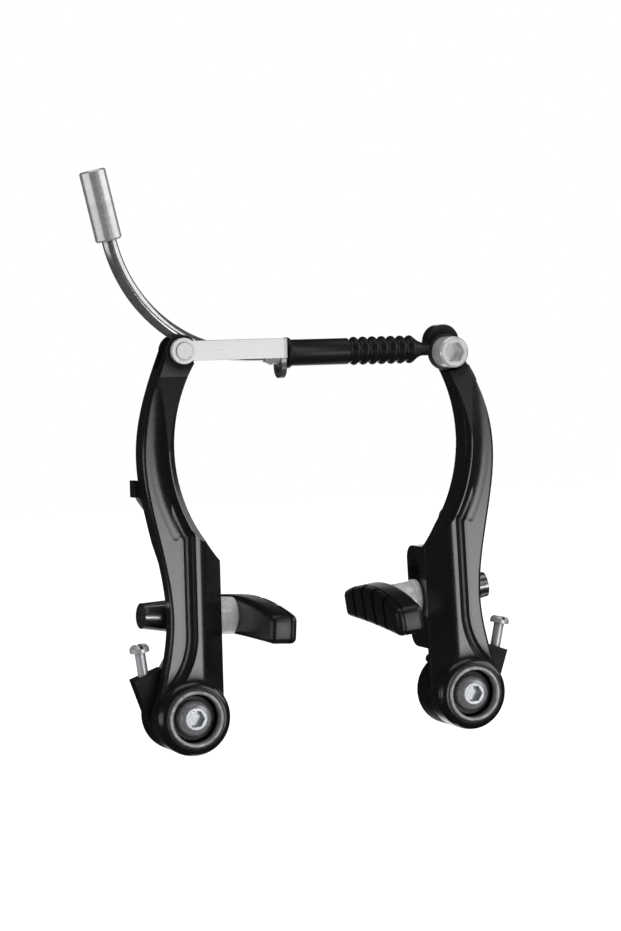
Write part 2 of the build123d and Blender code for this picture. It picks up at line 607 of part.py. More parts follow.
def return_spring(side):
    """One wire: the coil round the hub, then a leg behind the arm up to the lug it pushes outwards."""
    coil = Helix(COIL_PITCH, COIL_LENGTH, COIL_RADIUS)
    end_turn = 360 * (COIL_TURNS % 1)
    coil = Pos(0, -COIL_FRONT, 0) * Rot(-90, 0, 0) * Rot(0, 0, 180 - end_turn) * coil
    lean = LEFT_LEAN if side == "left" else RIGHT_LEAN
    lug_x = -BULGE_X + WIRE_RADIUS + RUNNING_GAP
    tip_y = -ARM_UPPER_REAR + WIRE_RADIUS + SIDE_GAP
    foot_z = SPRING_LUG_Z - SPRING_LUG_HEIGHT / 2
    tip_z = foot_z + LEG_TIP_ABOVE_LUG
    foot = Vector(lug_x + tan(radians(lean)) * foot_z, tip_y, foot_z)
    tip = Vector(lug_x + tan(radians(lean)) * tip_z, tip_y, tip_z)
    bend = Vector(LEG_BEND_X, LEG_REAR, LEG_BEND_Z)
    knee = Vector(-LEG_KNEE_X, LEG_REAR, LEG_KNEE_Z)
    start = coil @ 1
    exit_bend = start + (coil % 1) * LEG_EXIT
    leg = FilletPolyline(start, exit_bend, bend, knee, foot, tip, radius=LEG_BEND_RADIUS)
    return sweep(Plane(coil @ 0, z_dir=coil % 0) * Circle(WIRE_RADIUS), path=coil + leg)


def tension_screw(side):
    """A pan head screw along its own axis, slotted across the head."""
    head = SCREW_HEAD_HEIGHT
    screw = turned([(-SCREW_LENGTH, 0), (-SCREW_LENGTH, SCREW_SHANK_RADIUS), (0, SCREW_SHANK_RADIUS),
                    (0, SCREW_HEAD_RADIUS), (SCREW_HEAD_RIM, SCREW_HEAD_RADIUS),
                    (head, SCREW_HEAD_FLAT_RADIUS), (head, 0)])
    slot = Pos(head, 0, 0) * Box(2 * SCREW_SLOT_DEPTH, 3 * SCREW_HEAD_RADIUS, SCREW_SLOT_WIDTH)
    return screw_axis(side) * (screw - slot)


def sphere_reach(radius, sphere):
    """How far a sphere about the pad post's swivel point reaches at a radius from the post."""
    return sqrt(sphere**2 - radius**2)


def dome_washer():
    """A washer flat on the web and round on its other face."""
    base = WEB_THICK / 2
    bore, rim = DOME_BORE_RADIUS, PAD_WASHER_RADIUS
    mid = (bore + rim) / 2
    top = [(sphere_reach(r, DOME_SPHERE_RADIUS), r) for r in (rim, mid, bore)]
    return turned(Polyline(top[2], (base, bore), (base, rim), top[0]) + ThreePointArc(*top))


def cup_washer(reach):
    """The washer that swivels on the dome, flat on its other face."""
    bore, rim = POST_RADIUS + RUNNING_GAP, PAD_WASHER_RADIUS
    sphere = DOME_SPHERE_RADIUS + SEAT_GAP
    mid = (bore + rim) / 2
    bed = [(sphere_reach(r, sphere), r) for r in (rim, mid, bore)]
    return turned(Polyline(bed[2], (reach, bore), (reach, rim), bed[0]) + ThreePointArc(*bed))


def flat_washer():
    start = OUTER_CUP_REACH
    end = start + FLAT_WASHER_THICK
    bore = POST_RADIUS + RUNNING_GAP
    return turned([(start, bore), (start, PAD_WASHER_RADIUS), (end, PAD_WASHER_RADIUS), (end, bore)])


def pad_nut():
    """The tapered nut on the post's outer end, with a hexagonal socket."""
    start = OUTER_CUP_REACH + FLAT_WASHER_THICK
    end = start + NUT_LENGTH
    bore = POST_RADIUS + RUNNING_GAP
    floor = end - NUT_SOCKET_DEPTH
    nut = turned([(start, bore), (start, NUT_BASE_RADIUS), (end, NUT_END_RADIUS), (end, 0),
                  (floor, 0), (floor, bore)])
    return nut - hex_hole(NUT_SOCKET, floor, NUT_SOCKET_DEPTH)


def pad_post():
    """The threaded stud, with the flange that the pad is moulded round."""
    outer = -(OUTER_CUP_REACH + FLAT_WASHER_THICK + NUT_LENGTH - NUT_SOCKET_DEPTH - SIDE_GAP)
    flange = INNER_CUP_REACH + POST_FLANGE_INSET
    end = flange + POST_FLANGE_THICK
    return turned([(outer, 0), (outer, POST_RADIUS), (flange, POST_RADIUS), (flange, POST_FLANGE_RADIUS),
                   (end, POST_FLANGE_RADIUS), (end, 0)])


def brake_pad():
    """The moulded block, crowned along its length, grooved across its braking face and round its seam."""
    half = PAD_LENGTH / 2
    crest = ThreePointArc((-half, PAD_END_CREST), (0, PAD_CREST), (half, PAD_END_CREST))
    sole = ThreePointArc((half, -PAD_END_SOLE), (0, -PAD_SOLE), (-half, -PAD_END_SOLE))
    front_end = Line((half, PAD_END_CREST), (half, -PAD_END_SOLE))
    rear_end = Line((-half, -PAD_END_SOLE), (-half, PAD_END_CREST))
    side = make_face(crest + front_end + sole + rear_end)
    side = fillet(side.vertices(), PAD_CORNER)
    back = Plane.YZ.offset(INNER_CUP_REACH)
    pad = extrude(back * side, PAD_THICK)
    seam = side - offset(side, -PAD_SEAM_DEPTH)
    pad -= extrude(back.offset(PAD_SEAM_X) * seam, PAD_SEAM_WIDTH)
    face_x = INNER_CUP_REACH + PAD_THICK
    groove = Box(2 * PAD_GROOVE_DEPTH, PAD_GROOVE_WIDTH, 4 * PAD_CREST)
    for index in range(PAD_GROOVES):
        along = (index - (PAD_GROOVES - 1) / 2) * PAD_GROOVE_PITCH
        pad -= Pos(face_x, along, 0) * groove
    return pad - pad_post()


def pad_fixings(side):
    """The pad, its post and the washers and nut that clamp it to the arm's web."""
    height = LEFT_PAD_HEIGHT if side == "left" else RIGHT_PAD_HEIGHT
    toe = LEFT_TOE if side == "left" else RIGHT_TOE
    dip = LEFT_DIP if side == "left" else RIGHT_DIP
    square = Pos(WEB_MID_X, -POST_DEPTH, height)
    swivelled = square * Rot(0, dip, 0) * Rot(0, 0, toe)
    outward = Rot(0, 0, 180)
    pieces = {
        "brake_pad": swivelled * brake_pad(),
        "pad_post": swivelled * pad_post(),
        "inner_dome_washer": square * dome_washer(),
        "inner_cup_washer": swivelled * cup_washer(INNER_CUP_REACH),
        "outer_dome_washer": square * outward * dome_washer(),
        "outer_cup_washer": swivelled * outward * cup_washer(OUTER_CUP_REACH),
        "pad_washer": swivelled * outward * flat_washer(),
        "pad_nut": swivelled * outward * pad_nut(),
    }
    return {name: on_arm(piece, side) for name, piece in pieces.items()}


def cable_link():
    """A strip folded round the pipe's end: two side plates with eyes and a keyholed end plate."""
    length = LINK_LENGTH
    strip = Pos(length / 2, 0) * Rectangle(length, 2 * LINK_OUTER)
    strip = fillet(strip.vertices().sort_by(Axis.X)[-2:], LINK_BEND_RADIUS)
    hollow = Pos((length - LINK_THICK) / 2, 0) * Rectangle(length - LINK_THICK, 2 * LINK_INNER)
    hollow = fillet(hollow.vertices().sort_by(Axis.X)[-2:], LINK_BEND_RADIUS - LINK_THICK)
    link = extrude(strip - hollow, LINK_HEIGHT / 2, both=True)
    for inner, outer in ((LINK_INNER, LINK_OUTER), (-LINK_OUTER, -LINK_INNER)):
        link += rod(LINK_EYE_RADIUS, outer, inner)
        link -= rod(PIN_RADIUS + RUNNING_GAP, outer, inner)
    tab_mid = -TAB_DROP + TAB_WIDTH / 2
    tab = Pos(0, tab_mid) * Circle(TAB_WIDTH / 2) + Pos(0, tab_mid / 2) * Rectangle(TAB_WIDTH, -tab_mid)
    link += extrude(Plane.YZ.offset(length - LINK_THICK) * tab, LINK_THICK)
    keyhole = Pos(0, -PIPE_DROP) * Circle(TIP_NOSE_RADIUS + RUNNING_GAP)
    keyhole += Pos(0, tab_mid) * Circle(KEYHOLE_RADIUS)
    slot_height = PIPE_DROP + tab_mid
    keyhole += Pos(0, (tab_mid - PIPE_DROP) / 2) * Rectangle(KEYHOLE_WIDTH, abs(slot_height))
    link -= extrude(Plane.YZ.offset(length - 2 * LINK_THICK) * keyhole, 3 * LINK_THICK)
    return on_link(link)


def link_pin():
    """The rivet through the fork and both link eyes, headed at each end."""
    seat = LINK_OUTER + RUNNING_GAP
    end = seat + PIN_HEAD_HEIGHT
    pin = turned([(-end, 0), (-end, PIN_HEAD_RADIUS), (-seat, PIN_HEAD_RADIUS), (-seat, PIN_RADIUS),
                  (seat, PIN_RADIUS), (seat, PIN_HEAD_RADIUS), (end, PIN_HEAD_RADIUS), (end, 0)])
    return on_link(facing_front(pin))


def pipe_path():
    """The pipe's centre line: straight at the tip, one large bend, straight into the sleeve."""
    end = Vector(PIPE_END_X, -PIPE_DROP)
    straight = Line(end, (PIPE_BEND_X, -PIPE_DROP))
    turn = JernArc(straight @ 1, (-1, 0), PIPE_BEND_RADIUS, -(90 - PIPE_SLANT))
    out = Line(turn @ 1, turn @ 1 + (turn % 1) * SLEEVE_GRIP)
    return Plane.XZ * (straight + turn + out)


def tube(outer, inner):
    """A tube along the pipe's centre line."""
    path = pipe_path()
    start = Plane(path @ 0, z_dir=path % 0)
    return on_link(sweep(start * (Circle(outer) - Circle(inner)), path=path))


def pipe_sleeve():
    """The ferrule on the pipe's upper end: it grips the pipe below and takes the cable housing above."""
    path = pipe_path()
    end = path @ 1
    up = path % 1
    grip, mouth = SLEEVE_GRIP, SLEEVE_LENGTH
    floor = mouth - SLEEVE_SOCKET_DEPTH
    bevel = SLEEVE_BEVEL
    stop = grip + SEAT_GAP
    body = turned([(0, PIPE_RADIUS + SEAT_GAP), (0, SLEEVE_RADIUS - bevel), (bevel, SLEEVE_RADIUS),
                   (mouth - bevel, SLEEVE_RADIUS), (mouth, SLEEVE_RADIUS - bevel),
                   (mouth, SLEEVE_SOCKET_RADIUS), (floor, SLEEVE_SOCKET_RADIUS), (floor, PIPE_BORE_RADIUS),
                   (stop, PIPE_BORE_RADIUS), (stop, PIPE_RADIUS + SEAT_GAP)])
    foot = end - up * grip
    return on_link(Plane(foot, x_dir=up, z_dir=(0, -1, 0)).location * body)


def pipe_tip():
    """The turned end that bears on the link's end plate and pokes its nose through the keyhole."""
    start = -TIP_SHOULDER_LENGTH
    socket = start + TIP_GRIP + SEAT_GAP
    grip = PIPE_RADIUS + SEAT_GAP
    tip = turned([(start, grip), (start, TIP_NOSE_RADIUS), (start + TIP_CONE_LENGTH, TIP_SHOULDER_RADIUS),
                  (0, TIP_SHOULDER_RADIUS), (0, TIP_NOSE_RADIUS), (TIP_NOSE_LENGTH, TIP_NOSE_RADIUS),
                  (TIP_NOSE_LENGTH, LINER_BORE_RADIUS), (socket, LINER_BORE_RADIUS), (socket, grip)])
    return on_link(Pos(SHOULDER_X, 0, -PIPE_DROP) * tip)


def cable_boot():
    """The rubber sleeve over the bare cable: flange, tube, bellows, cone and neck."""
    length = BOOT_END_X - BOOT_START_X
    ribs_end = length - BOOT_NECK_LENGTH - BOOT_CONE_LENGTH
    ribs_start = ribs_end - BOOT_RIBS * BOOT_RIB_PITCH
    outer = [(0, BOOT_FLANGE_RADIUS), (BOOT_FLANGE_WIDTH, BOOT_FLANGE_RADIUS),
             (BOOT_FLANGE_WIDTH, BOOT_RADIUS), (ribs_start, BOOT_RADIUS)]
    for index in range(BOOT_RIBS):
        trough = ribs_start + index * BOOT_RIB_PITCH + BOOT_RIB_SLOPE
        rib = trough + BOOT_TROUGH_WIDTH + BOOT_RIB_SLOPE
        outer += [(trough, BOOT_TROUGH_RADIUS), (trough + BOOT_TROUGH_WIDTH, BOOT_TROUGH_RADIUS),
                  (rib, BOOT_RIB_RADIUS), (rib + BOOT_RIB_WIDTH, BOOT_RIB_RADIUS)]
    outer += [(ribs_end + BOOT_CONE_LENGTH, BOOT_NECK_RADIUS), (length, BOOT_NECK_RADIUS)]
    inner = [(length, BOOT_END_BORE_RADIUS), (ribs_end, BOOT_END_BORE_RADIUS), (ribs_end, BOOT_BORE_RADIUS),
             (0, BOOT_BORE_RADIUS)]
    return on_link(Pos(BOOT_START_X, 0, -PIPE_DROP) * turned(outer + inner))


def anchor_washer():
    front = LUG_FRONT + ANCHOR_WASHER_THICK
    washer = rod(ANCHOR_WASHER_RADIUS, front, LUG_FRONT, 0, ANCHOR_HEIGHT)
    return on_arm(washer - rod(ANCHOR_SHANK_RADIUS + SEAT_GAP, front, LUG_FRONT, 0, ANCHOR_HEIGHT), "right")


def anchor_bolt():
    """The cap screw that clamps the cable under its washer."""
    reach = LUG_DEPTH + ANCHOR_WASHER_THICK + ANCHOR_SHANK_PAST
    top = reach + ANCHOR_HEAD_HEIGHT
    shank, head = ANCHOR_SHANK_RADIUS, ANCHOR_HEAD_RADIUS
    bolt = turned([(0, 0), (0, shank), (reach, shank), (reach, head), (top - ANCHOR_RIM, head),
                   (top, head - ANCHOR_RIM), (top, 0)])
    bolt -= hex_hole(ANCHOR_SOCKET, top - ANCHOR_SOCKET_DEPTH, ANCHOR_SOCKET_DEPTH)
    seat = Pos(0, -(LUG_REAR - ANCHOR_SHANK_PAST), ANCHOR_HEIGHT)
    return on_arm(seat * facing_front(bolt), "right")


def all_pieces():
    pieces = {}
    for side in ("left", "right"):
        pieces[f"{side}_arm"] = brake_arm(side)
        pieces[f"{side}_pivot_collar"] = on_arm(pivot_collar(), side)
        for name, piece in pad_fixings(side).items():
            pieces[f"{side}_{name}"] = piece
        pieces[f"{side}_pivot_bush"] = on_stud(pivot_bush(), side)
        pieces[f"{side}_pivot_washer"] = on_stud(pivot_washer(), side)
        pieces[f"{side}_pivot_bolt"] = on_stud(pivot_bolt(), side)
        pieces[f"{side}_spring_housing"] = on_stud(spring_housing(side), side)
        pieces[f"{side}_return_spring"] = on_stud(return_spring(side), side)
        pieces[f"{side}_tension_screw"] = on_stud(tension_screw(side), side)
    pieces["cable_link"] = cable_link()
    pieces["link_pin"] = link_pin()
    pieces["guide_pipe"] = tube(PIPE_RADIUS, PIPE_BORE_RADIUS)
    pieces["guide_pipe_liner"] = tube(LINER_RADIUS, LINER_BORE_RADIUS)
    pieces["guide_pipe_sleeve"] = pipe_sleeve()
    pieces["guide_pipe_tip"] = pipe_tip()
    pieces["cable_boot"] = cable_boot()
    pieces["cable_anchor_washer"] = anchor_washer()
    pieces["cable_anchor_bolt"] = anchor_bolt()
    return pieces


os.makedirs("parts", exist_ok=True)
for node, solid in all_pieces().items():
    export_step(solid, f"parts/{node}.step")
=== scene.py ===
from math import cos, pi, radians, sin

import bmesh
import bpy
from mathutils import Matrix, Vector


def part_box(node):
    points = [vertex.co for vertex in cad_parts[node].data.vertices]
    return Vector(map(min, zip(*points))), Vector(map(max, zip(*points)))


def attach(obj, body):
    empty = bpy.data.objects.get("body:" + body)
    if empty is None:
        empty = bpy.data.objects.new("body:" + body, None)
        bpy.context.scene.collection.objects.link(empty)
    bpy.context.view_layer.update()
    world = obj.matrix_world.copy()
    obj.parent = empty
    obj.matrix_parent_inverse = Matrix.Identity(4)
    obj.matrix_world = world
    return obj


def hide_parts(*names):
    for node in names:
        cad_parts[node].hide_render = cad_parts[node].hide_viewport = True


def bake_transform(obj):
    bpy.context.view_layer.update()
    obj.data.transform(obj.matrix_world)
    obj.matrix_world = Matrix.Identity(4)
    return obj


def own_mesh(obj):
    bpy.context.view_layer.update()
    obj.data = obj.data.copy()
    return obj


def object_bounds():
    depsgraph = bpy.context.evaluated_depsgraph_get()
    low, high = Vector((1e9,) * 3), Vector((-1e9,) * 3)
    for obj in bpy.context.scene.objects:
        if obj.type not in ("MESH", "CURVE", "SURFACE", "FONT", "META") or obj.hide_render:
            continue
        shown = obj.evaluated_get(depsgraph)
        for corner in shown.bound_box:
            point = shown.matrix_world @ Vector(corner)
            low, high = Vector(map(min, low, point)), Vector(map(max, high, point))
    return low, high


bl_info = {
    "name": "Rim brake finish",
    "version": (1, 0, 0),
    "blender": (4, 5, 0),
    "location": "3D View > Sidebar > Rim Brake",
    "description": "Dresses the solids of a linear-pull rim brake and sets them on a white stage",
    "category": "Object",
}

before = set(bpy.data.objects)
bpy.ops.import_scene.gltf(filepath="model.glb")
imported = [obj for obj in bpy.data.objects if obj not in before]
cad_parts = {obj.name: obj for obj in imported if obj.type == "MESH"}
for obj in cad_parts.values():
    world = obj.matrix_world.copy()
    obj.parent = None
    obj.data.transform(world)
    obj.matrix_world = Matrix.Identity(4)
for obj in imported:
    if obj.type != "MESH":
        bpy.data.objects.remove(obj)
SOLID_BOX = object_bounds()
MM = 0.001
# Points closer than this are one point
MERGE = 1e-6

# Each side's name and the way from the middle to its stud
SIDES = {"left": -1, "right": 1}
STUD_REACH = 40 * MM
FACING_FRONT = (radians(90), 0.0, 0.0)
FACING_SIDE = (0.0, radians(90), 0.0)
SCREW_TILT = {"left": radians(-7.0), "right": radians(12.5)}

# Where each pad's post stands on its arm: heights in millimetres, angles in degrees
PAD_POSTS = {
    "left": {"inward": 1, "lean": 0.5, "height": 25.5, "dip": 3.8, "toe": 5.0},
    "right": {"inward": -1, "lean": -1.75, "height": 26.3, "dip": -6.0, "toe": -6.5},
}
POST_INWARD = 6.8 * MM
POST_FORWARD = 4.9 * MM
# Cuts along a pad, and how near a point lies to the cut that it belongs to
PAD_STATIONS = 20
STATION_REACH = 1e-5
PAD_GROOVES = 4
POST_WASHERS = (
    "inner_dome_washer", "inner_cup_washer", "outer_dome_washer", "outer_cup_washer", "pad_washer")

# Below this height the link's hanging tab gets a painted shadow
LINK_SHADE_BELOW = 92.5 * MM
SLEEVE_TILT = (0.0, radians(-12.6), 0.0)
SLEEVE_PLACE = (-0.0595, -0.012, 0.1378)

BOOT_START = (-9.476 * MM, -12.0 * MM, 94.2475 * MM)
BOOT_TURN = radians(0.48)
BOOT_SIDES = 56
BOOT_LIP = 0.2 * MM
BOOT_FLANGE = 1.2 * MM
RIB_STEPS = 10
# Part of a rib's pitch before the first crest, and how full the ribs are (1 is a plain wave)
RIB_PHASE = 0.778
RIB_FULLNESS = 0.7
CONE_SHARES = (0.25, 0.5, 0.75, 0.9, 1.0)

FLOOR_SIZE = 8.0
# Each lamp's name, place, size, level setting and share of that level
LAMPS = (
    ("key_lamp", (0.36, -0.88, -0.104), (0.56, 0.24), "key_level", 1.0),
    ("left_lamp", (-0.9, -0.05, -0.03), (1.2, 0.32), "side_level", 0.7),
    ("right_lamp", (0.8, -0.42, 0.42), (1.2, 0.5), "side_level", 1.0),
    ("top_lamp", (-0.05, -0.15, 0.95), (0.9, 0.7), "top_level", 1.0),
)
LAMP_TARGET = (0.0, 0.0, 0.05)
CAMERA_TARGET = (0.0, -0.019, 0.05)
SENSOR_HEIGHT = 36.0
PICTURE_HEIGHT = 931
# The picture's middle off the lens's middle, in pixels
PICTURE_SHIFT = (-22.6, 53.6)


class BrakeFinish(bpy.types.PropertyGroup):
    """Colours of the brake's paint, metals and rubbers."""

    arm_paint: bpy.props.FloatVectorProperty(
        name="Arm paint", description="Gloss paint on both arms",
        subtype="COLOR", default=(0.005, 0.005, 0.0053), min=0.0, max=1.0)
    steel: bpy.props.FloatVectorProperty(
        name="Steel", description="Turned steel of the bushes, the rivet and the pipe's tip",
        subtype="COLOR", default=(0.88, 0.88, 0.89), min=0.0, max=1.0)
    washer_steel: bpy.props.FloatVectorProperty(
        name="Washer steel", description="Bright washers of the pad posts",
        subtype="COLOR", default=(0.95, 0.95, 0.95), min=0.0, max=1.0)
    chrome: bpy.props.FloatVectorProperty(
        name="Chrome", description="Polished guide pipe",
        subtype="COLOR", default=(0.74, 0.75, 0.77), min=0.0, max=1.0)
    zinc: bpy.props.FloatVectorProperty(
        name="Zinc plate", description="Plated tension screws and pad posts",
        subtype="COLOR", default=(0.74, 0.75, 0.77), min=0.0, max=1.0)
    dark_steel: bpy.props.FloatVectorProperty(
        name="Dark steel", description="Blackened washers of the pivots and the anchor",
        subtype="COLOR", default=(0.06, 0.06, 0.062), min=0.0, max=1.0)
    bolt_plate: bpy.props.FloatVectorProperty(
        name="Bolt plate", description="Plated pivot bolts",
        subtype="COLOR", default=(0.45, 0.46, 0.48), min=0.0, max=1.0)
    # The bright socket of the anchor bolt is a painted highlight, set in its material
    anchor_plate: bpy.props.FloatVectorProperty(
        name="Anchor plate", description="Plate of the anchor bolt, worn bright at its socket",
        subtype="COLOR", default=(0.86, 0.86, 0.87), min=0.0, max=1.0)
    collar_metal: bpy.props.FloatVectorProperty(
        name="Collar metal", description="Satin ring round each pivot",
        subtype="COLOR", default=(0.62, 0.62, 0.63), min=0.0, max=1.0)
    nut_metal: bpy.props.FloatVectorProperty(
        name="Nut metal", description="Dark polished pad nuts",
        subtype="COLOR", default=(0.6, 0.6, 0.61), min=0.0, max=1.0)
    spring_wire: bpy.props.FloatVectorProperty(
        name="Spring wire", description="Drawn wire of the return springs",
        subtype="COLOR", default=(0.34, 0.34, 0.36), min=0.0, max=1.0)
    link_metal: bpy.props.FloatVectorProperty(
        name="Link metal", description="Brushed strip of the cable link",
        subtype="COLOR", default=(0.95, 0.95, 0.955), min=0.0, max=1.0)
    sleeve_metal: bpy.props.FloatVectorProperty(
        name="Sleeve metal", description="Turned sleeve on the guide pipe",
        subtype="COLOR", default=(0.88, 0.88, 0.89), min=0.0, max=1.0)
    pad_rubber: bpy.props.FloatVectorProperty(
        name="Pad rubber", description="Moulded friction rubber",
        subtype="COLOR", default=(0.004, 0.004, 0.0043), min=0.0, max=1.0)
    boot_rubber: bpy.props.FloatVectorProperty(
        name="Boot rubber", description="Soft rubber of the bellows",
        subtype="COLOR", default=(0.008, 0.008, 0.0085), min=0.0, max=1.0)
    housing_plastic: bpy.props.FloatVectorProperty(
        name="Housing plastic", description="Moulded spring housings",
        subtype="COLOR", default=(0.004, 0.004, 0.0043), min=0.0, max=1.0)
    liner_plastic: bpy.props.FloatVectorProperty(
        name="Liner plastic", description="Slippery tube inside the guide pipe",
        subtype="COLOR", default=(0.1, 0.1, 0.105), min=0.0, max=1.0)


class BrakePad(bpy.types.PropertyGroup):
    """Sizes of one brake pad, in its post's own frame: x towards the rim, y to the rear, z up."""

    length: bpy.props.FloatProperty(
        name="Length", description="From end to end",
        unit="LENGTH", default=0.05, min=0.01)
    back: bpy.props.FloatProperty(
        name="Back", description="Where the back stands on the post",
        unit="LENGTH", default=0.008803)
    thick: bpy.props.FloatProperty(
        name="Thickness", description="From the back to the braking face",
        unit="LENGTH", default=0.0077)
    crest: bpy.props.FloatProperty(
        name="Crest", description="Top above the post at mid length",
        unit="LENGTH", default=0.0055)
    end_crest: bpy.props.FloatProperty(
        name="End crest", description="Top above the post at the ends",
        unit="LENGTH", default=0.002)
    sole: bpy.props.FloatProperty(
        name="Sole", description="Underside below the post at mid length",
        unit="LENGTH", default=0.005)
    end_sole: bpy.props.FloatProperty(
        name="End sole", description="Underside below the post at the ends",
        unit="LENGTH", default=0.0054)
    edge_round: bpy.props.FloatProperty(
        name="Edge rounding", description="Radius of the moulded edges",
        unit="LENGTH", default=0.0016, min=0.0)
    seam: bpy.props.FloatProperty(
        name="Seam", description="From the back to the seam round the pad",
        unit="LENGTH", default=0.0053)
    seam_width: bpy.props.FloatProperty(
        name="Seam width", description="Width of the seam",
        unit="LENGTH", default=0.0006)
    seam_depth: bpy.props.FloatProperty(
        name="Seam depth", description="Depth of the seam",
        unit="LENGTH", default=0.00045)
    groove_pitch: bpy.props.FloatProperty(
        name="Groove pitch", description="From one water groove to the next",
        unit="LENGTH", default=0.0096)
    groove_width: bpy.props.FloatProperty(
        name="Groove width", description="Width of a water groove",
        unit="LENGTH", default=0.0028)
    groove_depth: bpy.props.FloatProperty(
        name="Groove depth", description="Depth of a water groove",
        unit="LENGTH", default=0.0022)


class BrakeBoot(bpy.types.PropertyGroup):
    """Sizes of the bellows boot along the cable."""

    length: bpy.props.FloatProperty(
        name="Length", description="From the flange to the neck",
        unit="LENGTH", default=0.04144, min=0.02)
    radius: bpy.props.FloatProperty(
        name="Radius", description="Radius of the smooth part",
        unit="LENGTH", default=0.0035)
    flange_radius: bpy.props.FloatProperty(
        name="Flange radius", description="Radius of the flange at the link",
        unit="LENGTH", default=0.0041)
    rib_radius: bpy.props.FloatProperty(
        name="Rib radius", description="Radius over the ribs",
        unit="LENGTH", default=0.0038)
    trough_radius: bpy.props.FloatProperty(
        name="Trough radius", description="Radius between the ribs",
        unit="LENGTH", default=0.00305)
    rib_pitch: bpy.props.FloatProperty(
        name="Rib pitch", description="From one rib to the next",
        unit="LENGTH", default=0.0027)
    ribs: bpy.props.IntProperty(
        name="Ribs", description="Number of ribs",
        default=7, min=1)
    cone: bpy.props.FloatProperty(
        name="Cone", description="Length of the cone after the ribs",
        unit="LENGTH", default=0.0034)
    neck: bpy.props.FloatProperty(
        name="Neck", description="Length of the neck at the anchor",
        unit="LENGTH", default=0.0014)
    neck_radius: bpy.props.FloatProperty(
        name="Neck radius", description="Radius of the neck",
        unit="LENGTH", default=0.0018)
    bore_radius: bpy.props.FloatProperty(
        name="Bore radius", description="Radius of the bore at the link",
        unit="LENGTH", default=0.00225)
    end_bore_radius: bpy.props.FloatProperty(
        name="End bore radius", description="Radius of the bore at the neck",
        unit="LENGTH", default=0.001)


class BrakeStage(bpy.types.PropertyGroup):
    """Camera, lamps and floor."""

    camera_yaw: bpy.props.FloatProperty(
        name="Camera yaw", description="How far the camera stands to the left of straight ahead",
        subtype="ANGLE", default=radians(22.16))
    camera_pitch: bpy.props.FloatProperty(
        name="Camera pitch", description="How far the camera looks down",
        subtype="ANGLE", default=radians(4.25))
    camera_roll: bpy.props.FloatProperty(
        name="Camera roll", description="Turn of the camera about its own line of sight",
        subtype="ANGLE", default=radians(-1.92))
    camera_distance: bpy.props.FloatProperty(
        name="Camera distance", description="From the camera to the point it looks at",
        unit="LENGTH", default=0.705)
    lens: bpy.props.FloatProperty(
        name="Lens", description="Focal length in millimetres",
        default=103.05, min=10.0, max=300.0)
    floor_drop: bpy.props.FloatProperty(
        name="Floor drop", description="Floor below the lowest point of the brake",
        unit="LENGTH", default=0.22, min=0.0)
    key_level: bpy.props.FloatProperty(
        name="Key level", description="Brightness of the low front lamp",
        default=3.0, min=0.0)
    top_level: bpy.props.FloatProperty(
        name="Top level", description="Brightness of the overhead lamp",
        default=0.6, min=0.0)
    fill_level: bpy.props.FloatProperty(
        name="Fill level", description="Brightness of the surroundings on matt surfaces",
        default=0.65, min=0.0)
    dark_level: bpy.props.FloatProperty(
        name="Dark level", description="Brightness of the studio's dark walls in reflections",
        default=0.015, min=0.0)
    side_level: bpy.props.FloatProperty(
        name="Side level", description="Brightness of the lamps on the left and right",
        default=1.1, min=0.0)


class Nodes:
    """Adds nodes and links to one shader tree."""

    def __init__(self, tree):
        self.tree = tree

    def add(self, kind, inputs=None, **settings):
        """A new node with these settings and named inputs."""
        node = self.tree.nodes.new(kind)
        for name, value in settings.items():
            setattr(node, name, value)
        for name, value in (inputs or {}).items():
            self.feed(node.inputs[name], value)
        return node

    def feed(self, socket, value):
        """Links a socket to another one, or sets its value. A colour may leave out its alpha."""
        if isinstance(value, bpy.types.NodeSocket):
            self.tree.links.new(value, socket)
            return
        has_alpha = hasattr(socket.default_value, "__len__") and len(socket.default_value) == 4
        if has_alpha and len(value) == 3:
            value = (*value, 1.0)
        socket.default_value = value

    def math(self, operation, first, second=0.5):
        """The result of a sum on one or two numbers."""
        node = self.add("ShaderNodeMath", operation=operation)
        self.feed(node.inputs[0], first)
        self.feed(node.inputs[1], second)
        return node.outputs[0]

    def vector(self, operation, first, second=None):
        """The results of a sum on one or two vectors."""
        node = self.add("ShaderNodeVectorMath", operation=operation)
        self.feed(node.inputs[0], first)
        if second is not None:
            self.feed(node.inputs[1], second)
        return node.outputs

    def span(self, value, low, high, from_low=0.0, from_high=1.0):
        """Runs from low to high as the value runs from from_low to from_high."""
        node = self.add("ShaderNodeMapRange", {
            "Value": value, "From Min": from_low, "From Max": from_high,
            "To Min": low, "To Max": high})
        return node.outputs["Result"]

    def tint(self, colour, low, high, amount):
        """The colour times a shade that runs from low to high with amount."""
        shade = self.span(amount, low, high)
        node = self.add("ShaderNodeVectorMath", operation="SCALE")
        self.feed(node.inputs[0], colour)
        self.feed(node.inputs["Scale"], shade)
        return node.outputs[0]

    def choose(self, amount, first, second):
        """The first shader where amount is 0, and the second where it is 1."""
        node = self.add("ShaderNodeMixShader", {"Fac": amount})
        self.feed(node.inputs[1], first.outputs[0])
        self.feed(node.inputs[2], second.outputs[0])
        return node


def new_group(name, inputs, outputs):
    """An empty shader group with named sockets, and helpers for what goes inside."""
    tree = bpy.data.node_groups.new(name, "ShaderNodeTree")
    for label, kind, value in inputs:
        socket = tree.interface.new_socket(name=label, in_out="INPUT", socket_type=kind)
        if value is not None:
            socket.default_value = value
    for label, kind in outputs:
        tree.interface.new_socket(name=label, in_out="OUTPUT", socket_type=kind)
    nodes = Nodes(tree)
    return nodes, nodes.add("NodeGroupInput").outputs, nodes.add("NodeGroupOutput")


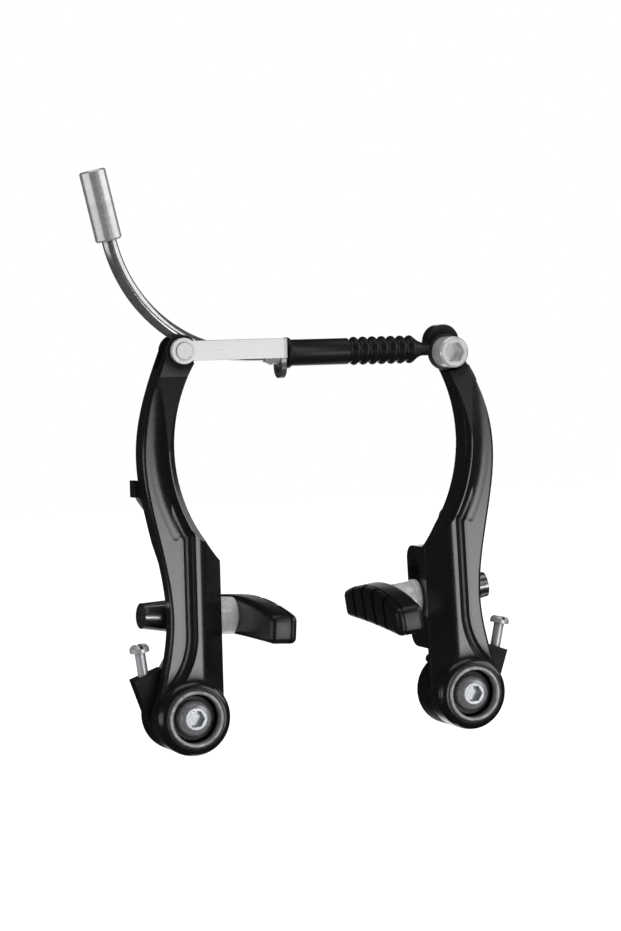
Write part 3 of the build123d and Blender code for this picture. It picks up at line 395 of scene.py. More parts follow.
def smudge_group(name):
    """Uneven handling marks: a slow cloud and a finer one, as one mask."""
    nodes, given, result = new_group(
        name, [("Vector", "NodeSocketVector", None), ("Size", "NodeSocketFloat", 0.02)],
        [("Mask", "NodeSocketFloat")])
    scale = nodes.math("DIVIDE", 1.0, given["Size"])
    slow = nodes.add("ShaderNodeTexNoise", {
        "Vector": given["Vector"], "Scale": scale, "Detail": 3.0})
    fine = nodes.add("ShaderNodeTexNoise", {
        "Vector": given["Vector"], "Scale": nodes.math("MULTIPLY", scale, 7.0), "Detail": 2.0})
    mixed = nodes.math("ADD", nodes.math("MULTIPLY", slow.outputs["Fac"], 0.7),
                       nodes.math("MULTIPLY", fine.outputs["Fac"], 0.3))
    mask = nodes.span(mixed, 0.0, 1.0, from_low=0.35, from_high=0.65)
    nodes.feed(result.inputs["Mask"], mask)
    return nodes.tree


def grain_group(name):
    """Fine pitted grain of a mould, as a height."""
    nodes, given, result = new_group(
        name, [("Vector", "NodeSocketVector", None), ("Grain", "NodeSocketFloat", 0.0003)],
        [("Height", "NodeSocketFloat")])
    scale = nodes.math("DIVIDE", 1.0, given["Grain"])
    pits = nodes.add("ShaderNodeTexVoronoi", {"Vector": given["Vector"], "Scale": scale})
    cloud = nodes.add("ShaderNodeTexNoise", {
        "Vector": given["Vector"], "Scale": scale, "Detail": 2.0})
    height = nodes.math("ADD", pits.outputs["Distance"], cloud.outputs["Fac"])
    nodes.feed(result.inputs["Height"], height)
    return nodes.tree


def brush_group(name):
    """Fine parallel lines along one direction of the given coordinates, as a mask."""
    nodes, given, result = new_group(
        name, [("Vector", "NodeSocketVector", None),
               ("Across", "NodeSocketVector", (1.0, 60.0, 60.0)),
               ("Width", "NodeSocketFloat", 0.006)],
        [("Mask", "NodeSocketFloat")])
    stretched = nodes.vector("MULTIPLY", given["Vector"], given["Across"])[0]
    scale = nodes.math("DIVIDE", 1.0, given["Width"])
    lines = nodes.add("ShaderNodeTexNoise", {"Vector": stretched, "Scale": scale, "Detail": 4.0})
    mask = nodes.span(lines.outputs["Fac"], 0.0, 1.0, from_low=0.3, from_high=0.7)
    nodes.feed(result.inputs["Mask"], mask)
    return nodes.tree


def turned_group(name):
    """Rings left by a lathe tool around the z axis of the given coordinates, as a mask."""
    nodes, given, result = new_group(
        name, [("Vector", "NodeSocketVector", None), ("Pitch", "NodeSocketFloat", 0.0002)],
        [("Mask", "NodeSocketFloat")])
    parts = nodes.add("ShaderNodeSeparateXYZ", {"Vector": given["Vector"]})
    square = nodes.math("ADD", nodes.math("POWER", parts.outputs["X"], 2.0),
                        nodes.math("POWER", parts.outputs["Y"], 2.0))
    reach = nodes.math("ADD", nodes.math("SQRT", square), parts.outputs["Z"])
    steps = nodes.math("DIVIDE", reach, given["Pitch"])
    ring = nodes.add("ShaderNodeTexNoise", {"W": steps, "Scale": 1.0, "Detail": 2.0},
                     noise_dimensions="1D")
    mask = nodes.span(ring.outputs["Fac"], 0.0, 1.0, from_low=0.3, from_high=0.7)
    nodes.feed(result.inputs["Mask"], mask)
    return nodes.tree


def edge_group(name):
    """Where two faces meet: a mask of the sharp edges and a normal that rounds them."""
    nodes, given, result = new_group(
        name, [("Radius", "NodeSocketFloat", 0.0002)],
        [("Mask", "NodeSocketFloat"), ("Normal", "NodeSocketVector")])
    rounded = nodes.add("ShaderNodeBevel", {"Radius": given["Radius"]}, samples=4)
    surface = nodes.add("ShaderNodeNewGeometry")
    facing = nodes.vector("DOT_PRODUCT", rounded.outputs["Normal"], surface.outputs["Normal"])
    mask = nodes.span(facing["Value"], 1.0, 0.0, from_low=0.75, from_high=0.99)
    nodes.feed(result.inputs["Mask"], mask)
    nodes.feed(result.inputs["Normal"], rounded.outputs["Normal"])
    return nodes.tree


def shelter_group(name):
    """Corners and grooves that light and cleaning don't reach, as a mask."""
    nodes, given, result = new_group(
        name, [("Reach", "NodeSocketFloat", 0.001), ("Shut", "NodeSocketFloat", 0.6),
               ("Open", "NodeSocketFloat", 0.95)],
        [("Mask", "NodeSocketFloat")])
    around = nodes.add("ShaderNodeAmbientOcclusion", {"Distance": given["Reach"]}, samples=8)
    mask = nodes.span(around.outputs["AO"], 1.0, 0.0, given["Shut"], given["Open"])
    nodes.feed(result.inputs["Mask"], mask)
    return nodes.tree


EFFECTS = {
    "Handling marks": smudge_group,
    "Moulded grain": grain_group,
    "Brushed lines": brush_group,
    "Turned rings": turned_group,
    "Soft edges": edge_group,
    "Sheltered corners": shelter_group,
}


def add_effect(nodes, name, **inputs):
    """Places a shared effect in a material, and builds it the first time it is asked for."""
    tree = bpy.data.node_groups.get(name) or EFFECTS[name](name)
    node = nodes.add("ShaderNodeGroup", node_tree=tree)
    for label, value in inputs.items():
        nodes.feed(node.inputs[label], value)
    return node.outputs


def add_bump(nodes, shader, height, depth, strength, normal=None):
    """A bump of that depth in metres on the shader's normal."""
    bump = nodes.add("ShaderNodeBump", {
        "Height": height, "Distance": depth, "Strength": strength})
    if normal is not None:
        nodes.feed(bump.inputs["Normal"], normal)
    nodes.feed(shader.inputs["Normal"], bump.outputs["Normal"])


def new_material(name):
    """A material with a Principled shader, its helpers and the piece's own coordinates."""
    material = bpy.data.materials.new(name)
    material.use_nodes = True
    nodes = Nodes(material.node_tree)
    shader = material.node_tree.nodes["Principled BSDF"]
    place = nodes.add("ShaderNodeTexCoord").outputs["Object"]
    return material, nodes, shader, place


def paint_material(colour):
    """Gloss black paint over a casting: slight orange peel, a painted highlight along the edges and
    dull corners.
    """
    material, nodes, shader, place = new_material("arm_gloss_paint")
    edge = add_effect(nodes, "Soft edges", Radius=0.0005)
    corner = add_effect(nodes, "Sheltered corners", Reach=0.004, Shut=0.86, Open=0.97)
    marks = add_effect(nodes, "Handling marks", Vector=place, Size=0.018)
    peel = nodes.add("ShaderNodeTexNoise", {"Vector": place, "Scale": 900.0, "Detail": 2.0})
    # Paler edges in patches: a painted highlight that stands in for the glint along the ridges
    edge_glint_mask = nodes.math("MULTIPLY", edge["Mask"], marks["Mask"])
    glinting = nodes.tint(colour, low=1.0, high=5.0, amount=edge_glint_mask)
    nodes.feed(shader.inputs["Base Color"], glinting)
    gloss = nodes.span(marks["Mask"], low=0.24, high=0.3)
    nodes.feed(shader.inputs["Roughness"], nodes.span(corner["Mask"], low=gloss, high=0.8))
    nodes.feed(shader.inputs["Coat Weight"], nodes.span(corner["Mask"], low=1.0, high=0.0))
    shader.inputs["Coat Roughness"].default_value = 0.18
    shader.inputs["Coat IOR"].default_value = 1.7
    add_bump(nodes, shader, peel.outputs["Fac"], depth=0.00001, strength=0.3, normal=edge["Normal"])
    return material


def metal_material(name, colour, roughness, axis_turn=(0.0, 0.0, 0.0), centre=(0.0, 0.0, 0.0),
                   pitch=0.00018, lines=0.35, edge_radius=0.00015, metallic=0.65, scuffed=0.0,
                   edge_wear_and_glint=1.0, painted_corner_light=0.25):
    """Turned or drawn metal: tool rings about one axis, scuffs, painted shade in corners (a painted
    highlight where that factor is above one), edges paler from wear and a painted highlight, and soft
    edges.
    """
    material, nodes, shader, place = new_material(name)
    moved = nodes.add("ShaderNodeMapping", {
        "Vector": place, "Location": centre, "Rotation": axis_turn}, vector_type="TEXTURE")
    rings = add_effect(nodes, "Turned rings", Vector=moved.outputs["Vector"], Pitch=pitch)
    marks = add_effect(nodes, "Handling marks", Vector=place, Size=0.006)
    edge = add_effect(nodes, "Soft edges", Radius=edge_radius)
    corner = add_effect(nodes, "Sheltered corners", Reach=0.0012, Shut=0.35, Open=0.85)
    scuffs = add_effect(nodes, "Handling marks", Vector=place, Size=0.0016)
    metal = nodes.tint(colour, low=0.9, high=1.06, amount=rings["Mask"])
    metal = nodes.tint(metal, low=1.0 - scuffed, high=1.0, amount=scuffs["Mask"])
    # Paler edges: wear together with a painted highlight along them
    metal = nodes.tint(metal, low=1.0, high=edge_wear_and_glint, amount=edge["Mask"])
    # Painted shade in sheltered corners; a factor above one paints a highlight there instead
    metal = nodes.tint(metal, low=1.0, high=painted_corner_light, amount=corner["Mask"])
    nodes.feed(shader.inputs["Base Color"], metal)
    shader.inputs["Metallic"].default_value = metallic
    ringed = nodes.span(rings["Mask"], low=0.0, high=lines * 0.2)
    smudged = nodes.span(marks["Mask"], low=roughness * 0.85, high=roughness * 1.15)
    nodes.feed(shader.inputs["Roughness"], nodes.math("ADD", ringed, smudged))
    rounded = edge["Normal"] if edge_radius else None
    add_bump(nodes, shader, rings["Mask"], depth=0.000004, strength=lines, normal=rounded)
    return material


def brushed_material(name, colour, roughness, across=(1.0, 60.0, 60.0), shade_below=None):
    """Strip metal with fine brushed lines along its length, painted shade in its corners and along
    its edges, and a painted shadow below a height.
    """
    material, nodes, shader, place = new_material(name)
    brush = add_effect(nodes, "Brushed lines", Vector=place, Across=across, Width=0.012)
    edge = add_effect(nodes, "Soft edges", Radius=0.0003)
    corner = add_effect(nodes, "Sheltered corners", Reach=0.0012, Shut=0.5, Open=0.97)
    metal = nodes.tint(colour, low=0.97, high=1.02, amount=brush["Mask"])
    # Painted shade in the sheltered corners
    metal = nodes.tint(metal, low=1.0, high=0.3, amount=corner["Mask"])
    # Painted shade along the sharp edges
    metal = nodes.tint(metal, low=1.0, high=0.3, amount=edge["Mask"])
    if shade_below is not None:
        # Painted shadow on what hangs below the height
        height = nodes.add("ShaderNodeSeparateXYZ", {"Vector": place}).outputs["Z"]
        shaded_below = nodes.span(height, 1.0, 0.0, from_low=shade_below - MM, from_high=shade_below)
        metal = nodes.tint(metal, low=1.0, high=0.12, amount=shaded_below)
    nodes.feed(shader.inputs["Base Color"], metal)
    shader.inputs["Metallic"].default_value = 0.45
    rough = nodes.span(brush["Mask"], low=roughness * 0.9, high=roughness * 1.15)
    nodes.feed(shader.inputs["Roughness"], rough)
    add_bump(nodes, shader, brush["Mask"], depth=0.000005, strength=0.3, normal=edge["Normal"])
    return material


def rubber_material(name, colour, roughness, grain, depth, dust, edge_radius=0.0003, ior=1.5):
    """Moulded rubber or plastic: fine grain, dusty edges and uneven sheen."""
    material, nodes, shader, place = new_material(name)
    pits = add_effect(nodes, "Moulded grain", Vector=place, Grain=grain)
    marks = add_effect(nodes, "Handling marks", Vector=place, Size=0.01)
    edge = add_effect(nodes, "Soft edges", Radius=edge_radius)
    shade = nodes.math("ADD", nodes.math("MULTIPLY", edge["Mask"], 0.6),
                       nodes.math("MULTIPLY", marks["Mask"], 0.4))
    nodes.feed(shader.inputs["Base Color"], nodes.tint(colour, low=1.0, high=dust, amount=shade))
    rough = nodes.span(marks["Mask"], low=roughness * 0.9, high=roughness * 1.1)
    nodes.feed(shader.inputs["Roughness"], rough)
    shader.inputs["IOR"].default_value = ior
    add_bump(nodes, shader, pits["Height"], depth, strength=0.5, normal=edge["Normal"])
    return material


def behind_brake(nodes, stage, direction):
    """How far a direction points at the white wall behind the brake."""
    ahead = (sin(stage.camera_yaw), cos(stage.camera_yaw), 0.0)
    facing = nodes.vector("DOT_PRODUCT", direction, ahead)
    return nodes.span(facing["Value"], 0.0, 1.0, from_low=0.95, from_high=0.99)


def floor_material(stage):
    """A pale floor that the camera sees as white with a shadow, and metal as the studio's walls."""
    material = bpy.data.materials.new("pale_floor")
    material.use_nodes = True
    nodes = Nodes(material.node_tree)
    material.node_tree.nodes.remove(material.node_tree.nodes["Principled BSDF"])
    place = nodes.add("ShaderNodeTexCoord").outputs["Object"]
    sight = nodes.add("ShaderNodeLightPath")
    cloud = nodes.add("ShaderNodeTexNoise", {"Vector": place, "Scale": 3.0})
    pale = nodes.add("ShaderNodeBsdfDiffuse", {
        "Color": nodes.tint((0.8, 0.8, 0.8), low=0.98, high=1.0, amount=cloud.outputs["Fac"])})
    dim = nodes.add("ShaderNodeBsdfDiffuse", {"Color": (0.3, 0.3, 0.3)})
    reach = nodes.vector("LENGTH", place)["Value"]
    glow = nodes.add("ShaderNodeEmission", {
        "Strength": nodes.span(reach, low=0.82, high=1.0, from_low=0.3, from_high=1.2)})
    seen = nodes.add("ShaderNodeAddShader")
    nodes.feed(seen.inputs[0], dim.outputs[0])
    nodes.feed(seen.inputs[1], glow.outputs[0])
    ahead = nodes.vector("NORMALIZE", place)[0]
    wall = nodes.span(behind_brake(nodes, stage, ahead), low=stage.dark_level, high=1.0)
    mirror = nodes.add("ShaderNodeEmission", {"Strength": wall})
    lit = nodes.choose(sight.outputs["Is Glossy Ray"], pale, mirror)
    floor = nodes.choose(sight.outputs["Is Camera Ray"], lit, seen)
    nodes.feed(material.node_tree.nodes["Material Output"].inputs["Surface"], floor.outputs[0])
    return material


def give(piece, material):
    """Puts one material on a piece."""
    piece.data.materials.clear()
    piece.data.materials.append(material)


def dress(node, material):
    """Gives a solid its finish."""
    give(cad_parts[node], material)


def middle_of(node):
    """The middle of a solid's box at rest."""
    low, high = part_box(node)
    return tuple((a + b) / 2 for a, b in zip(low, high))


def select_only(piece):
    """Makes one object the selected and active one, in object mode."""
    bpy.ops.object.select_all(action="DESELECT")
    piece.select_set(True)
    bpy.context.view_layer.objects.active = piece


def merged_copy(node, name):
    """A new piece with the node's shape, its loose triangles joined."""
    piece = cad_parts[node].copy()
    piece.data = piece.data.copy()
    piece.name = name
    piece.data.name = name
    piece.parent = None
    piece.matrix_world = Matrix.Identity(4)
    bpy.context.scene.collection.objects.link(piece)
    for key in list(piece.keys()):
        del piece[key]
    select_only(piece)
    bpy.ops.object.mode_set(mode="EDIT")
    bpy.ops.mesh.select_all(action="SELECT")
    bpy.ops.mesh.remove_doubles(threshold=MERGE)
    bpy.ops.object.mode_set(mode="OBJECT")
    return piece


def new_block(size, place):
    """A box of that size with its middle at a place."""
    bpy.ops.object.select_all(action="DESELECT")
    bpy.ops.mesh.primitive_cube_add(size=1.0, location=place)
    block = bpy.context.object
    block.scale = size
    bpy.ops.object.transform_apply(location=True, rotation=True, scale=True)
    return block


def cut_across(place, normal):
    """In edit mode, cuts the whole mesh along a plane."""
    bpy.ops.mesh.select_all(action="SELECT")
    bpy.ops.mesh.bisect(plane_co=place, plane_no=normal)


def select_points(piece, wanted):
    """In edit mode, selects the points for which wanted is true, and what lies between them."""
    mesh = bmesh.from_edit_mesh(piece.data)
    for face in mesh.faces:
        face.select_set(False)
    for edge in mesh.edges:
        edge.select_set(False)
    for point in mesh.verts:
        point.select_set(wanted(point.co))
    mesh.select_flush(True)
    bmesh.update_edit_mesh(piece.data)


def put_in_place(piece, place):
    """Moves a piece's mesh to its place and leaves the object at the origin."""
    piece.matrix_world = place
    select_only(piece)
    bpy.ops.object.transform_apply(location=True, rotation=True, scale=True)


def apply_modifier(piece, kind, **settings):
    """Adds a modifier with these settings and applies it."""
    modifier = piece.modifiers.new(kind.lower(), kind)
    for name, value in settings.items():
        setattr(modifier, name, value)
    select_only(piece)
    bpy.ops.object.modifier_apply(modifier=modifier.name)


class BRAKE_OT_arms(bpy.types.Operator):
    """Paint both brake arms"""

    bl_idname = "brake.arms"
    bl_label = "Brake arms"

    def execute(self, context):
        paint = paint_material(context.scene.brake_finish.arm_paint)
        for side in SIDES:
            dress(f"{side}_arm", paint)
        return {"FINISHED"}


class BRAKE_OT_pivots(bpy.types.Operator):
    """Finish the collars, bushes, washers and bolts of both pivots"""

    bl_idname = "brake.pivots"
    bl_label = "Pivots"

    def execute(self, context):
        finish = context.scene.brake_finish
        for side, sign in SIDES.items():
            turned = {"axis_turn": FACING_FRONT, "centre": (sign * STUD_REACH, 0.0, 0.0)}
            collar = metal_material(
                f"{side}_collar_satin", finish.collar_metal, 0.4, scuffed=0.5, **turned)
            steel = metal_material(f"{side}_pivot_steel", finish.steel, 0.28, **turned)
            # The washer's rim is made pale: wear and a painted highlight on its edge
            black = metal_material(
                f"{side}_pivot_black", finish.dark_steel, 0.45, lines=0.15, edge_radius=0.0003,
                edge_wear_and_glint=8.0, **turned)
            # Painted highlight in the socket and along the edges of the bolt head
            bolt = metal_material(
                f"{side}_bolt_plate", finish.bolt_plate, 0.26, lines=0.15, edge_radius=0.0003,
                edge_wear_and_glint=2.0, painted_corner_light=2.0, **turned)
            dress(f"{side}_pivot_collar", collar)
            dress(f"{side}_pivot_bush", steel)
            dress(f"{side}_pivot_washer", black)
            dress(f"{side}_pivot_bolt", bolt)
        return {"FINISHED"}


class BRAKE_OT_springs(bpy.types.Operator):
    """Finish the spring housings, return springs and tension screws"""

    bl_idname = "brake.springs"
    bl_label = "Springs"

    def execute(self, context):
        finish = context.scene.brake_finish
        plastic = rubber_material(
            "housing_moulding", finish.housing_plastic, 0.55, grain=0.0004, depth=0.000012, dust=1.6)
        wire = brushed_material("spring_wire", finish.spring_wire, 0.36, across=(20.0, 20.0, 1.0))
        for side, sign in SIDES.items():
            dress(f"{side}_spring_housing", plastic)
            spring = merged_copy(f"{side}_return_spring", f"{side}_spring_wire")
            bpy.ops.object.shade_smooth_by_angle(angle=radians(30))
            give(spring, wire)
            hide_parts(f"{side}_return_spring")
            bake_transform(spring)
            screw = metal_material(
                f"{side}_screw_zinc", finish.zinc, 0.34, axis_turn=(0.0, SCREW_TILT[side], 0.0),
                centre=middle_of(f"{side}_tension_screw"))
            dress(f"{side}_tension_screw", screw)
        return {"FINISHED"}


class BRAKE_OT_pads(bpy.types.Operator):
    """Make the brake pads and finish their posts, washers and nuts"""

    bl_idname = "brake.pads"
    bl_label = "Brake pads"

    def execute(self, context):
        finish = context.scene.brake_finish
        rubber = rubber_material(
            "pad_moulding", finish.pad_rubber, 0.34, grain=0.0005, depth=0.00001, dust=2.2, ior=1.75)
        shaped = self.shape_pad(context.scene.brake_pad)
        give(shaped, rubber)
        for side in SIDES:
            turned = {"axis_turn": FACING_SIDE, "centre": middle_of(f"{side}_pad_washer")}
            steel = metal_material(
                f"{side}_washer_steel", finish.washer_steel, 0.22, metallic=0.2, scuffed=0.25,
                **turned)
            nut = metal_material(
                f"{side}_nut_black", finish.nut_metal, 0.2, lines=0.15, metallic=1.0, **turned)
            zinc = metal_material(f"{side}_post_zinc", finish.zinc, 0.3, pitch=0.001, **turned)
            self.set_pad(shaped, side)
            dress(f"{side}_pad_post", zinc)
            dress(f"{side}_pad_nut", nut)
            for washer in POST_WASHERS:
                dress(f"{side}_{washer}", steel)
        bpy.data.objects.remove(shaped)
        return {"FINISHED"}

    def shape_pad(self, sizes):
        """One pad in its post's frame: a crowned block with round edges, a seam and water grooves."""
        half = sizes.length / 2
        pad = new_block((sizes.thick, sizes.length, sizes.crest),
                        (sizes.back + sizes.thick / 2, 0.0, 0.0))
        bpy.ops.object.mode_set(mode="EDIT")
        stations = [half * (2 * index / PAD_STATIONS - 1) for index in range(PAD_STATIONS + 1)]
        for along in stations[1:-1]:
            cut_across((0.0, along, 0.0), (0.0, 1.0, 0.0))
        for along in stations:
            share = (along / half) ** 2
            top = sizes.crest + share * (sizes.end_crest - sizes.crest)
            bottom = sizes.sole + share * (sizes.end_sole - sizes.sole)
            select_points(pad, lambda co: abs(co.y - along) < STATION_REACH and co.z > 0)
            bpy.ops.transform.translate(value=(0.0, 0.0, top - sizes.crest / 2))
            select_points(pad, lambda co: abs(co.y - along) < STATION_REACH and co.z < 0)
            bpy.ops.transform.translate(value=(0.0, 0.0, sizes.crest / 2 - bottom))
        bpy.ops.object.mode_set(mode="OBJECT")
        apply_modifier(pad, "BEVEL", width=sizes.edge_round, segments=5,
                       limit_method="ANGLE", angle_limit=radians(45))
        self.sink_seam(pad, sizes)
        self.cut_grooves(pad, sizes)
        select_only(pad)
        bpy.ops.object.shade_smooth_by_angle(angle=radians(35))
        return pad

    def sink_seam(self, pad, sizes):
        """Sinks a narrow seam all round the pad."""
        start = sizes.back + sizes.seam
        end = start + sizes.seam_width
        select_only(pad)
        bpy.ops.object.mode_set(mode="EDIT")
        for depth in (start, end):
            cut_across((depth, 0.0, 0.0), (1.0, 0.0, 0.0))
        select_points(pad, lambda co: start - MERGE < co.x < end + MERGE)
        bpy.ops.mesh.inset(thickness=sizes.seam_width / 8, depth=-sizes.seam_depth)
        bpy.ops.object.mode_set(mode="OBJECT")

    def cut_grooves(self, pad, sizes):
        """Cuts the water grooves into the braking face."""
        face = sizes.back + sizes.thick
        for index in range(PAD_GROOVES):
            along = (index - (PAD_GROOVES - 1) / 2) * sizes.groove_pitch
            cutter = new_block((2 * sizes.groove_depth, sizes.groove_width, 8 * sizes.crest),
                               (face, along, 0.0))
            apply_modifier(cutter, "BEVEL", width=sizes.groove_width / 4, segments=3,
                           limit_method="ANGLE")
            apply_modifier(pad, "BOOLEAN", operation="DIFFERENCE", solver="EXACT", object=cutter)
            bpy.data.objects.remove(cutter)

    def set_pad(self, shaped, side):
        """A copy of the pad on its post, turned as the post is."""
        post = PAD_POSTS[side]
        inward = post["inward"]
        pad = shaped.copy()
        pad.data = shaped.data.copy()
        pad.name = f"{side}_pad_block"
        pad.data.name = pad.name
        bpy.context.scene.collection.objects.link(pad)
        facing = 0.0 if inward > 0 else pi
        stud = Matrix.Translation((-inward * STUD_REACH, 0.0, 0.0))
        lean = Matrix.Rotation(radians(post["lean"]), 4, "Y")
        seat = Matrix.Translation((inward * POST_INWARD, -POST_FORWARD, post["height"] * MM))
        dip = Matrix.Rotation(radians(post["dip"]), 4, "Y")
        toe = Matrix.Rotation(radians(post["toe"]) + facing, 4, "Z")
        put_in_place(pad, stud @ lean @ seat @ dip @ toe)
        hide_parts(f"{side}_brake_pad")
        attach(pad, f"{side}_brake_arm")


class BRAKE_OT_link(bpy.types.Operator):
    """Finish the cable link, its rivet and the guide pipe"""

    bl_idname = "brake.link"
    bl_label = "Cable link"

    def execute(self, context):
        finish = context.scene.brake_finish
        rivet_middle = middle_of("link_pin")
        link = brushed_material(
            "link_brushed", finish.link_metal, 0.3, shade_below=LINK_SHADE_BELOW)
        rivet = metal_material(
            "rivet_steel", finish.steel, 0.26, FACING_FRONT, rivet_middle, lines=0.05, metallic=0.4)
        pipe = metal_material(
            "pipe_chrome", finish.chrome, 0.14, pitch=0.004, lines=0.02, edge_radius=0.0,
            metallic=0.9)
        sleeve = metal_material(
            "sleeve_satin", finish.sleeve_metal, 0.26, SLEEVE_TILT, SLEEVE_PLACE, pitch=0.003,
            lines=0.04, metallic=0.75)
        tip = metal_material("tip_steel", finish.steel, 0.22, FACING_SIDE, rivet_middle)
        liner = rubber_material(
            "liner_tube", finish.liner_plastic, 0.4, grain=0.0006, depth=0.00001, dust=1.3)
        dress("cable_link", link)
        dress("link_pin", rivet)
        dress("guide_pipe", pipe)
        dress("guide_pipe_sleeve", sleeve)
        dress("guide_pipe_tip", tip)
        dress("guide_pipe_liner", liner)
        return {"FINISHED"}


class BRAKE_OT_boot(bpy.types.Operator):
    """Make the rubber bellows over the cable"""

    bl_idname = "brake.boot"
    bl_label = "Cable boot"

    def execute(self, context):
        rubber = rubber_material(
            "boot_moulding", context.scene.brake_finish.boot_rubber, 0.36, grain=0.0003,
            depth=0.000003, dust=1.6, edge_radius=0.0)
        boot = self.turn_boot(self.outline(context.scene.brake_boot))
        put_in_place(boot, Matrix.Translation(BOOT_START) @ Matrix.Rotation(BOOT_TURN, 4, "Y"))
        bpy.ops.object.shade_smooth_by_angle(angle=radians(50))
        give(boot, rubber)
        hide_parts("cable_boot")
        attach(boot, "link_set")
        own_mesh(boot)
        return {"FINISHED"}

    def outline(self, sizes):
        """Points of (along, radius) over the flange, ribs and neck and back along the bore."""
        ribs_end = sizes.length - sizes.neck - sizes.cone
        ribs_start = ribs_end - sizes.ribs * sizes.rib_pitch
        points = [
            (0.0, sizes.flange_radius - BOOT_LIP),
            (BOOT_LIP, sizes.flange_radius),
            (BOOT_FLANGE - BOOT_LIP, sizes.flange_radius),
            (BOOT_FLANGE, sizes.flange_radius - BOOT_LIP),
            (BOOT_FLANGE + BOOT_LIP, sizes.radius + BOOT_LIP / 2),
            (BOOT_FLANGE + 2 * BOOT_LIP, sizes.radius),
            (ribs_start - BOOT_LIP, sizes.radius),
        ]
        middle = (sizes.rib_radius + sizes.trough_radius) / 2
        swell = (sizes.rib_radius - sizes.trough_radius) / 2
        for step in range(sizes.ribs * RIB_STEPS + 1):
            turn = cos(2 * pi * (step / RIB_STEPS - RIB_PHASE))
            wave = abs(turn) ** RIB_FULLNESS * (1 if turn > 0 else -1)
            points.append((ribs_start + step * sizes.rib_pitch / RIB_STEPS, middle + swell * wave))
        crest = points[-1][1]
        for share in CONE_SHARES:
            narrow = sin(share * pi / 2)
            radius = crest + (sizes.neck_radius - crest) * narrow
            points.append((ribs_end + share * sizes.cone, radius))
        points += [
            (sizes.length - BOOT_LIP, sizes.neck_radius),
            (sizes.length, sizes.neck_radius - BOOT_LIP),
            (sizes.length, sizes.end_bore_radius),
            (ribs_end, sizes.end_bore_radius),
            (ribs_end, sizes.bore_radius),
            (0.0, sizes.bore_radius),
            points[0],
        ]
        return points

    def turn_boot(self, points):
        """A turned shell along x through these points."""
        bpy.ops.object.select_all(action="DESELECT")
        bpy.ops.mesh.primitive_circle_add(
            vertices=BOOT_SIDES, radius=points[0][1], rotation=(0.0, pi / 2, 0.0))
        boot = bpy.context.object
        boot.name = "bellows_boot"
        boot.data.name = boot.name
        bpy.ops.object.transform_apply(location=True, rotation=True, scale=True)
        bpy.ops.object.mode_set(mode="EDIT")
        bpy.ops.mesh.select_all(action="SELECT")
        for before, after in zip(points, points[1:]):
            bpy.ops.mesh.extrude_region_move(
                TRANSFORM_OT_translate={"value": (after[0] - before[0], 0.0, 0.0)})
            ratio = after[1] / before[1]
            bpy.ops.transform.resize(
                value=(1.0, ratio, ratio), center_override=(after[0], 0.0, 0.0))
        bpy.ops.mesh.select_all(action="SELECT")
        bpy.ops.mesh.remove_doubles(threshold=MERGE)
        bpy.ops.mesh.normals_make_consistent(inside=False)
        bpy.ops.object.mode_set(mode="OBJECT")
        return boot


class BRAKE_OT_anchor(bpy.types.Operator):
    """Finish the cable anchor bolt and its washer"""

    bl_idname = "brake.anchor"
    bl_label = "Cable anchor"

    def execute(self, context):
        finish = context.scene.brake_finish
        centre = middle_of("cable_anchor_bolt")
        # Painted highlight in the socket, and a slight one along the edges
        bolt = metal_material(
            "anchor_plate", finish.anchor_plate, 0.2, FACING_FRONT, centre, lines=0.15,
            edge_radius=0.00035, metallic=0.55, edge_wear_and_glint=1.25, painted_corner_light=1.9)
        washer = metal_material("anchor_black", finish.dark_steel, 0.4, FACING_FRONT, centre)
        dress("cable_anchor_bolt", bolt)
        dress("cable_anchor_washer", washer)
        return {"FINISHED"}


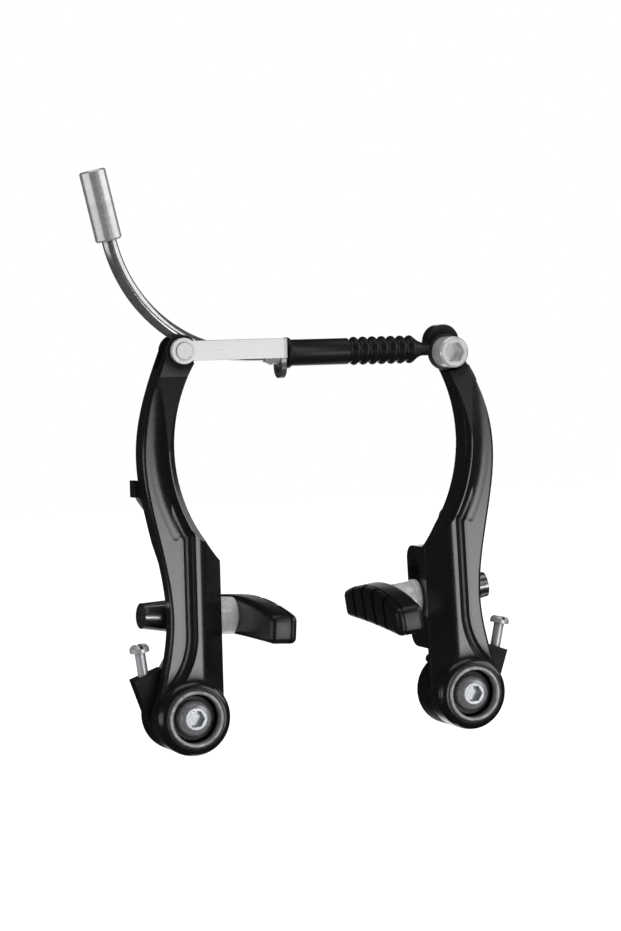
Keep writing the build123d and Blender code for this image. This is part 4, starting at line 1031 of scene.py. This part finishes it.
class BRAKE_OT_stage(bpy.types.Operator):
    """Set the floor, lamps, surroundings and camera"""

    bl_idname = "brake.stage"
    bl_label = "Stage"

    def execute(self, context):
        stage = context.scene.brake_stage
        context.scene.view_settings.view_transform = "Standard"
        self.make_floor(stage)
        self.make_surroundings(context.scene, stage)
        for name, place, size, level, share in LAMPS:
            self.make_lamp(name, place, size, share * getattr(stage, level))
        self.make_camera(context.scene, stage)
        return {"FINISHED"}

    def make_floor(self, stage):
        """A wide floor below the brake."""
        depth = SOLID_BOX[0][2] - stage.floor_drop
        bpy.ops.object.select_all(action="DESELECT")
        bpy.ops.mesh.primitive_grid_add(
            x_subdivisions=8, y_subdivisions=8, size=FLOOR_SIZE, location=(0.0, 0.0, depth))
        floor = bpy.context.object
        floor.name = "studio_floor"
        floor.data.materials.append(floor_material(stage))

    def make_surroundings(self, scene, stage):
        """White to the camera, even light on matt surfaces, and dark walls in reflections."""
        world = scene.world or bpy.data.worlds.new("studio")
        scene.world = world
        world.use_nodes = True
        nodes = Nodes(world.node_tree)
        world.node_tree.nodes.clear()
        sight = nodes.add("ShaderNodeLightPath").outputs
        direction = nodes.add("ShaderNodeTexCoord").outputs["Generated"]
        mirrored = nodes.math("MAXIMUM", sight["Is Glossy Ray"], sight["Is Transmission Ray"])
        backdrop = nodes.math("MULTIPLY", mirrored, behind_brake(nodes, stage, direction))
        white = nodes.math("MAXIMUM", sight["Is Camera Ray"], backdrop)
        wall = nodes.span(mirrored, low=stage.fill_level, high=stage.dark_level)
        sky = nodes.add("ShaderNodeBackground", {
            "Color": (1.0, 1.0, 1.0), "Strength": nodes.span(white, low=wall, high=1.0)})
        nodes.feed(nodes.add("ShaderNodeOutputWorld").inputs["Surface"], sky.outputs[0])

    def make_lamp(self, name, place, size, level):
        """A soft flat lamp that faces the brake, as bright over its area as its level says."""
        lamp = bpy.data.lights.new(name, "AREA")
        lamp.shape = "RECTANGLE"
        lamp.size, lamp.size_y = size
        lamp.energy = level * pi * size[0] * size[1]
        holder = bpy.data.objects.new(name, lamp)
        bpy.context.scene.collection.objects.link(holder)
        aim = Vector(LAMP_TARGET) - Vector(place)
        holder.location = place
        holder.rotation_euler = aim.to_track_quat("-Z", "Y").to_euler()

    def make_camera(self, scene, stage):
        """A camera in front of the brake, a little to the left and above."""
        yaw, pitch, roll = stage.camera_yaw, stage.camera_pitch, stage.camera_roll
        ahead = Vector((sin(yaw) * cos(pitch), cos(yaw) * cos(pitch), -sin(pitch)))
        right = Vector((cos(yaw), -sin(yaw), 0.0))
        up = right.cross(ahead)
        across = cos(roll) * right + sin(roll) * up
        upward = cos(roll) * up - sin(roll) * right
        lens = bpy.data.cameras.new("photo_camera")
        lens.sensor_fit = "VERTICAL"
        lens.sensor_height = SENSOR_HEIGHT
        lens.lens = stage.lens
        lens.shift_x = PICTURE_SHIFT[0] / PICTURE_HEIGHT
        lens.shift_y = PICTURE_SHIFT[1] / PICTURE_HEIGHT
        camera = bpy.data.objects.new("photo_camera", lens)
        scene.collection.objects.link(camera)
        place = Vector(CAMERA_TARGET) - ahead * stage.camera_distance
        turn = Matrix((across, upward, -ahead)).transposed()
        camera.matrix_world = Matrix.Translation(place) @ turn.to_4x4()
        scene.camera = camera


class BRAKE_PT_panel(bpy.types.Panel):
    """Steps and settings of the brake"""

    bl_label = "Rim Brake"
    bl_space_type = "VIEW_3D"
    bl_region_type = "UI"
    bl_category = "Rim Brake"

    def draw(self, context):
        for step in STEPS:
            self.layout.operator(step.bl_idname)
        scene = context.scene
        for group in (scene.brake_finish, scene.brake_pad, scene.brake_boot, scene.brake_stage):
            box = self.layout.box()
            for name in group.__annotations__:
                box.prop(group, name)


STEPS = (
    BRAKE_OT_arms, BRAKE_OT_pivots, BRAKE_OT_springs, BRAKE_OT_pads, BRAKE_OT_link,
    BRAKE_OT_boot, BRAKE_OT_anchor, BRAKE_OT_stage)
CLASSES = (BrakeFinish, BrakePad, BrakeBoot, BrakeStage, *STEPS, BRAKE_PT_panel)


def register():
    for kind in CLASSES:
        bpy.utils.register_class(kind)
    bpy.types.Scene.brake_finish = bpy.props.PointerProperty(type=BrakeFinish)
    bpy.types.Scene.brake_pad = bpy.props.PointerProperty(type=BrakePad)
    bpy.types.Scene.brake_boot = bpy.props.PointerProperty(type=BrakeBoot)
    bpy.types.Scene.brake_stage = bpy.props.PointerProperty(type=BrakeStage)


def unregister():
    del bpy.types.Scene.brake_stage
    del bpy.types.Scene.brake_boot
    del bpy.types.Scene.brake_pad
    del bpy.types.Scene.brake_finish
    for kind in reversed(CLASSES):
        bpy.utils.unregister_class(kind)


def main():
    register()
    bpy.ops.brake.arms()
    bpy.ops.brake.pivots()
    bpy.ops.brake.springs()
    bpy.ops.brake.pads()
    bpy.ops.brake.link()
    bpy.ops.brake.boot()
    bpy.ops.brake.anchor()
    bpy.ops.brake.stage()


if __name__ == "__main__":
    main()
